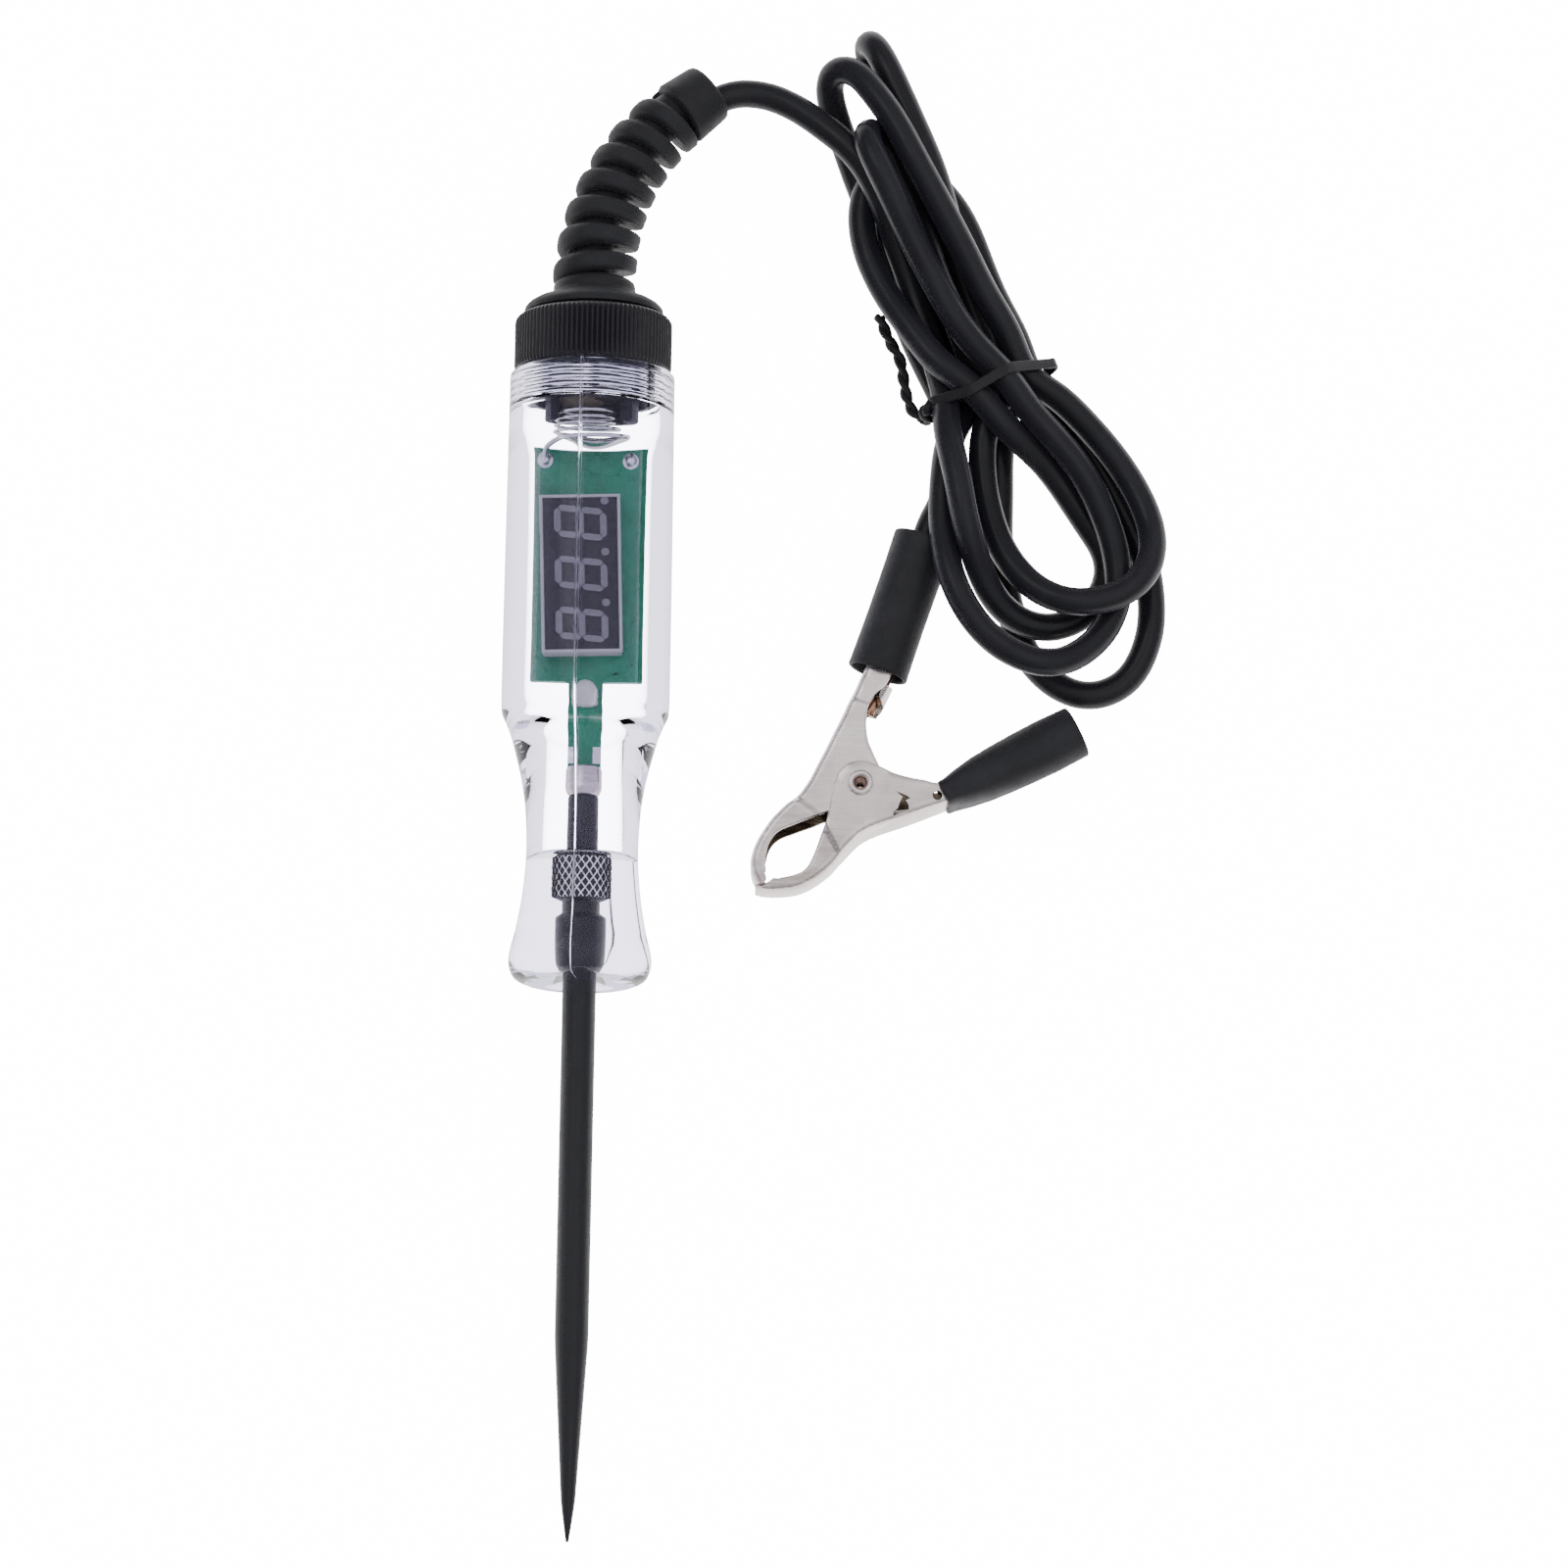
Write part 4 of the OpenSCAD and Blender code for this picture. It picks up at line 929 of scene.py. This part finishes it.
def relief_frame(s):
    """Centre and axes of the strain relief, s millimetres past its start."""
    a = min(max(s / RELIEF_BEND_R, 0.0), RELIEF_BEND)
    over = s - a * RELIEF_BEND_R
    side = np.array([math.cos(RELIEF_ROLL), 0, -math.sin(RELIEF_ROLL)])
    up = np.array([math.sin(RELIEF_ROLL), 0, math.cos(RELIEF_ROLL)])
    ahead = np.array([0.0, 1.0, 0.0])
    d = ahead * math.cos(a) + side * math.sin(a)
    out = side * math.cos(a) - ahead * math.sin(a)
    origin = np.array([0, y_of(RELIEF_START), AXIS_Z])
    c = origin + side * RELIEF_BEND_R * (1 - math.cos(a)) + ahead * RELIEF_BEND_R * math.sin(a)
    return c + d * over, d, out, up


def relief_point(s, r, a):
    c, _, out, up = relief_frame(s)
    return c + (out * math.cos(a) + up * math.sin(a)) * r


def add_relief():
    shape = Shape()
    body = [(0.001, 161.6), (6.2, 161.6), (6.4, 161.4), (6.5, 161.0), (6.5, 161.1), (6.5, 167.5),
        (7.7, 167.5), (7.8, 167.6), (7.8, 169.8), (7.7, 169.9), (6.5, 169.9), (6.5, 174.25),
        (9.3, 174.3), (9.7, 174.4), (9.8, 174.8), (9.7, 175.2), (9.2, 175.75), (8.3, 176.3),
        (7.2, 176.75), (6.3, 177.1), (5.9, 177.4), (5.8, 177.8), (5.78, 178.4), (5.6, 178.9),
        (5.1, 179.3), (4.4, 179.6), (0.001, 179.7)]
    shape.grid(pen_lathe(body, 80))
    lip = [(5.1, 157.9), (5.3, 157.65), (6.0, 157.6), (6.35, 157.8), (6.5, 158.2), (6.5, 161.9),
        (4.95, 161.9), (4.95, 158.2)]
    rows = []
    open_half = math.radians(58)
    for k in range(41):
        a = math.radians(90) + open_half + (2 * math.pi - 2 * open_half) * k / 40
        rows.append([(-0.3 * (r < 5.4) + r * math.cos(a), y_of(s), AXIS_Z + r * math.sin(a))
            for r, s in lip])
    shape.grid(rows)
    length = RELIEF_BEND * RELIEF_BEND_R
    core_rows = []
    for s in np.linspace(-0.8, length + 0.5, 60):
        core_rows.append([relief_point(s, 3.0, a) - relief_frame(s)[2] * 0.8
            for a in around(40)])
    shape.grid(core_rows)
    steps = 56
    rings = []
    total = RELIEF_TURNS * steps
    for i in range(total + 1):
        f = i / total
        a = math.radians(200) - 2 * math.pi * i / steps
        s = 0.6 + (length - 0.8) * f
        outer_r = 5.95 + (4.95 - 5.95) * f
        r = outer_r - 1.35
        c, d, out, up = relief_frame(s)
        radial = out * math.cos(a) + up * math.sin(a)
        bulge = 0.5 - 0.5 * math.cos(a)
        rib = rounded_box(2.7, 2.1 + 1.35 * bulge, 0.4 + 0.85 * bulge, 4)
        rings.append([c + radial * (r + w) + d * h for w, h in rib])
    shape.grid(rings)
    collar = [(0.001, 0.2), (3.9, -0.4), (4.7, -0.2), (4.85, 0.1), (4.8, 0.6), (4.45, 4.7),
        (4.3, 5.2), (4.05, 5.4), (2.4, 5.4), (2.0, 5.2), (2.0, 3.5), (0.001, 3.5)]
    shape.grid([[relief_point(length + s, max(r, 0.001), a) for a in around(48)]
        for r, s in collar])
    return add_mesh("relief", shape.verts, shape.faces, "cable", "relief_black", 42,
        replaces=("strain_relief",))


add_relief()

# ---- clip ----

CLIP = np.array([38.7, 21.2, 4.9])
CORD_ARM = math.radians(72)
FREE_ARM = math.radians(28)


def level_axes(angle):
    """The direction at this angle in the plane of the table, and the one across it."""
    d = np.array([math.cos(angle), math.sin(angle), 0])
    return d, np.array([-d[1], d[0], 0])


def add_boot(name, body, start, direction, sizes, replaces, wall=0.6, sides=48):
    """A soft sleeve: sizes are [along, half width, half height, squareness]."""
    d, across = level_axes(direction)
    table = np.array(sizes, float)

    def ring(at, shrink):
        w, h, n = (np.interp(at, table[:, 0], table[:, k]) for k in (1, 2, 3))
        centre = CLIP + np.array([*start, 0]) + d * at
        out = []
        for x, y in circle(1, sides):
            g = (abs(x) ** n + abs(y) ** n) ** (-1 / n)
            out.append(centre + across * (w - shrink) * x * g
                + np.array([0, 0, 1]) * (h - shrink) * y * g)
        return out

    end = table[-1, 0]
    rows = [ring(0.0, 0.25), ring(0.12, 0.05)]
    rows += [ring(s, 0.0) for s in np.linspace(0.35, end - 0.35, 30)]
    rows += [ring(end - 0.1, 0.06), ring(end, 0.25), ring(end - 0.05, wall - 0.08)]
    rows += [ring(s, wall) for s in np.linspace(end - 0.4, 0.4, 12)]
    rows += [ring(0.1, wall - 0.08)]
    shape = Shape().grid(rows, close_rows=True)
    return add_mesh(name, shape.verts, shape.faces, body, "boot_black", 50, replaces=replaces)


add_boot("boot_on_cord_jaw", "cable", (2.12, 16.66), CORD_ARM, [(0, 4.35, 4.2, 2.0),
    (1, 4.3, 4.2, 2.0), (8, 4.2, 4.15, 2.0), (16, 4.25, 4.15, 2.0), (20.6, 4.35, 4.2, 2.0)],
    ("clip_boot_cord",))
add_boot("boot_on_free_jaw", "free_jaw", (11.6, -1.1), FREE_ARM, [(0, 2.0, 4.6, 4.0),
    (1, 2.1, 4.6, 3.6), (3.1, 2.7, 4.4, 3.0), (6.2, 3.3, 4.2, 2.5), (9.3, 3.6, 4.0, 2.2),
    (12.4, 3.8, 3.8, 2.0), (16.5, 3.9, 3.7, 2.0), (21.3, 3.75, 3.7, 2.0)],
    ("clip_boot_free",))

RIVET = [(0.5, -4.9), (1.5, -4.92), (1.68, -4.82), (1.7, -4.65), (1.2, -4.6), (1.2, 4.6),
    (1.66, 4.66), (1.76, 4.78), (1.76, 4.98), (1.64, 5.16), (1.42, 5.25), (1.2, 5.22),
    (1.02, 5.08), (0.92, 4.85), (0.88, 4.4), (0.82, 3.4), (0.5, 3.0)]


def add_rivet():
    rings = upright_lathe([(r, CLIP[2] + h) for r, h in RIVET], CLIP, 40)
    shape = Shape().grid(rings, close_rows=True)
    return add_mesh("rivet", shape.verts, shape.faces, "cable", "nickel", 40,
        replaces=("clip_rivet",))


add_rivet()

SHEET = 0.8
FOLD_R = 0.95
# Each jaw row by row from its handle to its tip: the fold's corner and the cheek's
# edge opposite it, both in the plane of the clip from its pivot.
CORD_JAW = [(2.8, 24.3, 6.4, 23.1), (0.5, 17.2, 4.1, 16.0), (-0.3, 15.4, 3.2, 14.4),
    (-1.0, 13.7, 1.9, 13.1), (-1.9, 11.8, 0.9, 11.2), (-2.9, 9.5, 0.7, 8.8), (-3.9, 7.4, 1.0, 6.4),
    (-5.1, 4.8, 1.9, 4.2), (-6.0, 3.0, 2.8, 2.2), (-6.9, 1.1, 3.2, -0.2), (-7.8, -0.4, 2.4, -2.4),
    (-8.7, -1.6, 0, -3.4), (-9.5, -2.3, -2.5, -3.5), (-10.4, -3.0, -4.9, -4.2),
    (-11.4, -4.0, -7.4, -5.2), (-12.4, -5.1, -9.4, -6.0), (-13.3, -6.4, -11.2, -6.8),
    (-14.2, -7.9, -12.3, -7.9), (-14.9, -9.6, -12.9, -9.4), (-15.2, -11.2, -13.1, -11.1),
    (-15.0, -12.8, -13.05, -12.6), (-14.5, -13.9, -13.0, -13.7), (-14.1, -14.45, -13.1, -14.3)]
FREE_JAW = [(18.5, 1.1, 17.3, 3.4), (12.2, -2.3, 11, 0.4), (10.2, -3.1, 9, 0.7), (8.4, -3.8, 7, 1.0),
    (6.4, -4.55, 4.6, 1.6), (4.6, -5.2, 2.6, 2.5), (3.2, -5.7, 0.7, 3.15), (2, -6.2, -1.3, 3.0),
    (1.1, -6.65, -2.9, 1.8), (0.1, -7.3, -3.7, -0.2), (-0.6, -7.95, -4.1, -2.5),
    (-1.3, -8.7, -4.5, -4.6), (-2.6, -10.2, -5.4, -7.4), (-3.9, -11.8, -6.3, -10),
    (-5.2, -12.95, -7.1, -11.7), (-6.7, -14, -8.0, -12.6), (-8.4, -14.8, -9.2, -13.1),
    (-10.4, -15.2, -10.7, -13.45), (-12, -15.3, -12.2, -13.7), (-13.3, -15.25, -13.3, -14.5),
    (-14.5, -15.0, -14.4, -14.5)]
# Half depth of each jaw, against the distance along its own crease direction.
CORD_REAR_DEPTH = [(5, 3.7), (11.2, 3.35), (11.5, 3.15), (16.5, 2.85), (26, 2.5)]
CORD_NOSE_DEPTH = [(-22, 3.0), (-7.5, 4.1), (-6.6, 3.7)]
CREASE = math.radians(53)
FREE_DEPTH = [(-20, 3.1), (-7.6, 4.1), (-6.9, 4.6), (4, 4.6), (9.8, 3.9), (20, 3.1)]


def along(p, direction):
    return p[0] * math.cos(direction) + p[1] * math.sin(direction)


def level(table, at):
    return float(np.interp(at, [a for a, _ in table], [h for _, h in table]))


def cord_half_depth(p):
    nose = along(p, CREASE)
    if nose < CORD_NOSE_DEPTH[-1][0]:
        return level(CORD_NOSE_DEPTH, nose)
    return level(CORD_REAR_DEPTH, along(p, CORD_ARM))


def free_half_depth(p):
    return level(FREE_DEPTH, along(p, FREE_ARM))


def folded_sheet(rows, half_depth, teeth, cheek_shade):
    """A sheet folded into a channel: one ring of points round its section for each row."""
    rows = curve_through(rows, 0.35)
    way = np.gradient(rows[:, :2], axis=0)
    way /= np.linalg.norm(way, axis=1)[:, None]
    run = np.r_[0, np.cumsum(np.linalg.norm(np.diff(rows[:, :2], axis=0), axis=1))]
    rings = []
    for row, d, s in zip(rows, way, run):
        corner, edge = row[:2], row[2:]
        width = float(np.linalg.norm(edge - corner))
        e = (edge - corner) / width
        lean = max(0.45, abs(d[0] * e[1] - d[1] * e[0]))
        bite = ease((s - run[-1] + teeth) / 1.5)
        width += 0.22 * bite * (2 * abs((s / 1.3) % 1.0 - 0.5) - 0.5)
        bend = min(FOLD_R / lean, 0.7 * width)
        web = min(SHEET / lean, 0.92 * width)
        inner = max(bend, web + 0.02)

        def cheek(u, t):
            return (u, half_depth(corner + e * u) - t)

        flat = width - 0.3 - inner
        top = [cheek(width, 0.3), cheek(width - 0.09, 0.09), cheek(width - 0.3, 0),
            *(cheek(inner + flat * f, 0) for f in (0.85, 0.7, 0.55, 0.4, 0.25, 0.1))]
        high = half_depth(corner + e * bend)
        for a in (0, 18, 36, 54, 72, 90):
            c, q = math.cos(math.radians(a)), math.sin(math.radians(a))
            top.append((bend * (1 - q), high - FOLD_R * (1 - c)))
        top.append((0.0, (high - FOLD_R) * 0.5))
        outside = top + [(0.0, 0.0)] + [(u, -z) for u, z in reversed(top)]
        lip = [cheek(width, SHEET - 0.1), cheek(width - 0.1, SHEET)]
        under = [cheek(inner + (width - 0.1 - inner) * f, SHEET) for f in (0.7, 0.4, 0.1)]
        under += [(web, high - SHEET - 0.12), (web, (high - FOLD_R) * 0.5)]
        inside = lip + under + [(web, 0.0)] + [(u, -z) for u, z in reversed(lip + under)]
        ring = outside + list(reversed(inside))
        # painted shade: the inside faces get full dark shade; the outside faces get the given cheek
        # amount, fading to none at the fold's corner
        painted_shade = [cheek_shade * min(1.0, u / inner) for u, _ in outside] + [1.0] * len(inside)
        rings.append([(CLIP[0] + corner[0] + e[0] * u, CLIP[1] + corner[1] + e[1] * u, CLIP[2] + z)
            for u, z in ring])
    return rings, painted_shade * len(rings)


def add_folded(name, rows, half_depth, teeth, cheek_shade, body, replaces):
    rings, painted_shade = folded_sheet(rows, half_depth, teeth, cheek_shade)
    shape = Shape().grid(rings)
    return add_mesh(name, shape.verts, shape.faces, body, "nickel", 28, replaces=replaces,
        wear_and_shade=painted_shade)


def prism(outline, low, high):
    """A cutter: an outline in the plane of the clip between two heights."""
    mesh = bpy.data.meshes.new("cutter")
    n = len(outline)
    points = [((CLIP[0] + x) * MM, (CLIP[1] + y) * MM, (CLIP[2] + z) * MM)
        for z in (low, high) for x, y in outline]
    faces = [tuple(reversed(range(n))), tuple(range(n, 2 * n))]
    faces += [(k, (k + 1) % n, n + (k + 1) % n, n + k) for k in range(n)]
    mesh.from_pydata(points, [], faces)
    return add_object("cutter", mesh)


def cut_away(ob, cutters, sharp):
    for cutter in cutters:
        tool = ob.modifiers.new("cut", "BOOLEAN")
        tool.operation = "DIFFERENCE"
        tool.solver = "EXACT"
        tool.object = cutter
    bpy.context.view_layer.update()
    seen = ob.evaluated_get(bpy.context.evaluated_depsgraph_get())
    mesh = bpy.data.meshes.new_from_object(seen)
    ob.modifiers.clear()
    ob.data = mesh
    mesh.set_sharp_from_angle(angle=math.radians(sharp))
    for cutter in cutters:
        bpy.data.objects.remove(cutter)


def disc(x, y, r):
    return [(x + u, y + v) for u, v in circle(r, 32)]


def crimp_wing():
    """The lower cheek's tab, curled up round the bare wire."""
    d, across = level_axes(CORD_ARM)
    rings = []
    for k in range(13):
        f = k / 12
        end = math.radians(215 - 90 * ease(f * 1.6))
        outer_r = 3.1 - 0.5 * (1 - f)
        arc = np.linspace(math.radians(270), end, 16)
        centre = CLIP + d * (10.6 + 4.4 * f) + across * 3.4
        ring = [centre + across * outer_r * math.cos(a) + np.array([0, 0, outer_r * math.sin(a)])
            for a in arc]
        ring += [centre + across * (outer_r - SHEET) * math.cos(a)
            + np.array([0, 0, (outer_r - SHEET) * math.sin(a)]) for a in arc[::-1]]
        rings.append(ring)
    return rings


def add_jaws():
    cord_jaw = add_folded("jaw_on_cord", CORD_JAW, cord_half_depth, 5.5, 0.0, "cable",
        ("clip_jaw_cord",))
    cut_away(cord_jaw, [prism(disc(0, 0, 1.28), -6, 6)], 28)
    wing = Shape().grid(crimp_wing())
    add_mesh("crimp", wing.verts, wing.faces, "cable", "nickel", 40)
    # painted shade: the free jaw's cheeks are shaded 0.16 of the way to dark brown; the cord jaw's get
    # none
    free_jaw = add_folded("jaw_free", FREE_JAW, free_half_depth, 4.5, 0.16, "free_jaw",
        ("clip_jaw_free",))
    tab = [(5.0, -1.1), (5.9, -1.95), (5.5, -2.8), (5.3, -3.5), (4.6, -4.2), (4.7, -4.9),
        (5.7, -4.6), (6.9, -4.1), (6.8, -3.0), (6.4, -2.4), (7.0, -2.1), (6.8, -1.85),
        (5.9, -1.45)]
    cut_away(free_jaw, [prism(disc(0, 0, 1.28), -6, 6), prism(tab, 3.0, 6),
        prism(disc(10.8, -1.5, 0.7), 2.5, 6)], 28)
    return cord_jaw


jaw_on_cord = add_jaws()


def add_clip_spring():
    wire, turns, rise = 0.4, 4.43, 0.83
    low = -2.08
    path = [(8.6, -2.5, low), (5.5, -2.9, low), (3, -3.0, low)]
    steps = 150
    for i in range(6, steps - 5):
        a = math.radians(270 - 360 * turns * i / steps)
        path.append((2.3 * math.cos(a), 2.3 * math.sin(a), low + rise * 5 * i / steps))
    path += [(-2.6, 3.4, -low), (-2.1, 5.6, -low), (-1.6, 8.2, -low)]
    line, _ = resample(curve_through(path, 0.5), 0.5)
    shape = Shape().grid(sweep([CLIP + p for p in line], circle(wire)))
    ob = add_mesh("coil_clip", shape.verts, shape.faces, None, "spring_steel", 60,
        replaces=("clip_spring",))
    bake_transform(ob)
    return ob


add_clip_spring()


def add_conductor():
    """Bare copper strands twisted together, through the crimp and out as a short brush."""
    d, across = level_axes(CORD_ARM)
    shape = Shape()
    for k in range(7):
        path = []
        for i in range(40):
            s = 10.6 + 15.3 * i / 39
            a = 2 * math.pi * (k / 6 + s / 14)
            r = 0.0 if k == 6 else 0.72
            path.append(CLIP + d * s + across * (2.6 + r * math.cos(a))
                + np.array([0, 0, r * math.sin(a)]))
        shape.grid(sweep(path, circle(STRAND_R, 8)))
    return add_mesh("strands", shape.verts, shape.faces, "cable", "copper", 60,
        replaces=("cord_conductor",))


add_conductor()

# ---- CAD nodes that keep their own shape ----

KEPT = {"circuit_board": 0.0, "edge_pads": 0.0, "display_case": 0.12, "display_face": 0.0,
    "display_digits": 0.0, "display_pins": 0.05, "controller_chip": 0.08, "controller_legs": 0.0,
    "voltage_regulator": 0.08, "chip_resistors": 0.05, "chip_capacitors": 0.08,
    "cable_contact": 0.05}
for item in frame["record"]["subparts"]:
    name = item["node"]
    if name not in KEPT:
        continue
    ob = frame["nodes"][name]
    ob.data.materials.clear()
    ob.data.materials.append(MATS[item["material_slot"]])
    if KEPT[name]:
        bevel = ob.modifiers.new("rounded edges", "BEVEL")
        bevel.width = KEPT[name] * MM
        bevel.segments = 2
        bevel.limit_method = "ANGLE"
        bevel.angle_limit = math.radians(40)
        bevel.harden_normals = False

# ---- floor ----


def add_floor():
    """A plain floor that looks as bright as a lit table, and lights the object less."""
    mesh = bpy.data.meshes.new("floor")
    mesh.from_pydata([(-3, -3, 0), (3, -3, 0), (3, 3, 0), (-3, 3, 0)], [], [(0, 1, 2, 3)])
    n = Nodes("floor")
    n.shader.inputs["Base Color"].default_value = (0.9, 0.9, 0.9, 1)
    n.feed("Roughness", n.spread(n.noise(4), 0.75, 0.85))
    straight, solid, inside, mirrored, glossy = ray_kinds(n.tree)
    reflected = math_node(n.tree, "MAXIMUM", glossy, mirrored)
    dim = math_node(n.tree, "MULTIPLY_ADD", reflected, 1.2, 0.25)
    behind = n.add("ShaderNodeMix", {0: inside, 2: dim, 3: 2.2}).outputs[0]
    through = n.add("ShaderNodeMix", {0: solid, 2: 15.0, 3: 3.4}).outputs[0]
    n.feed("Emission Strength", n.add("ShaderNodeMix", {0: straight, 2: behind, 3: through}).outputs[0])
    n.feed("Emission Color", n.blend(solid, (1, 1, 1), (0.90, 0.885, 1.0)))
    mesh.materials.append(n.mat)
    add_object("floor", mesh)


add_floor()
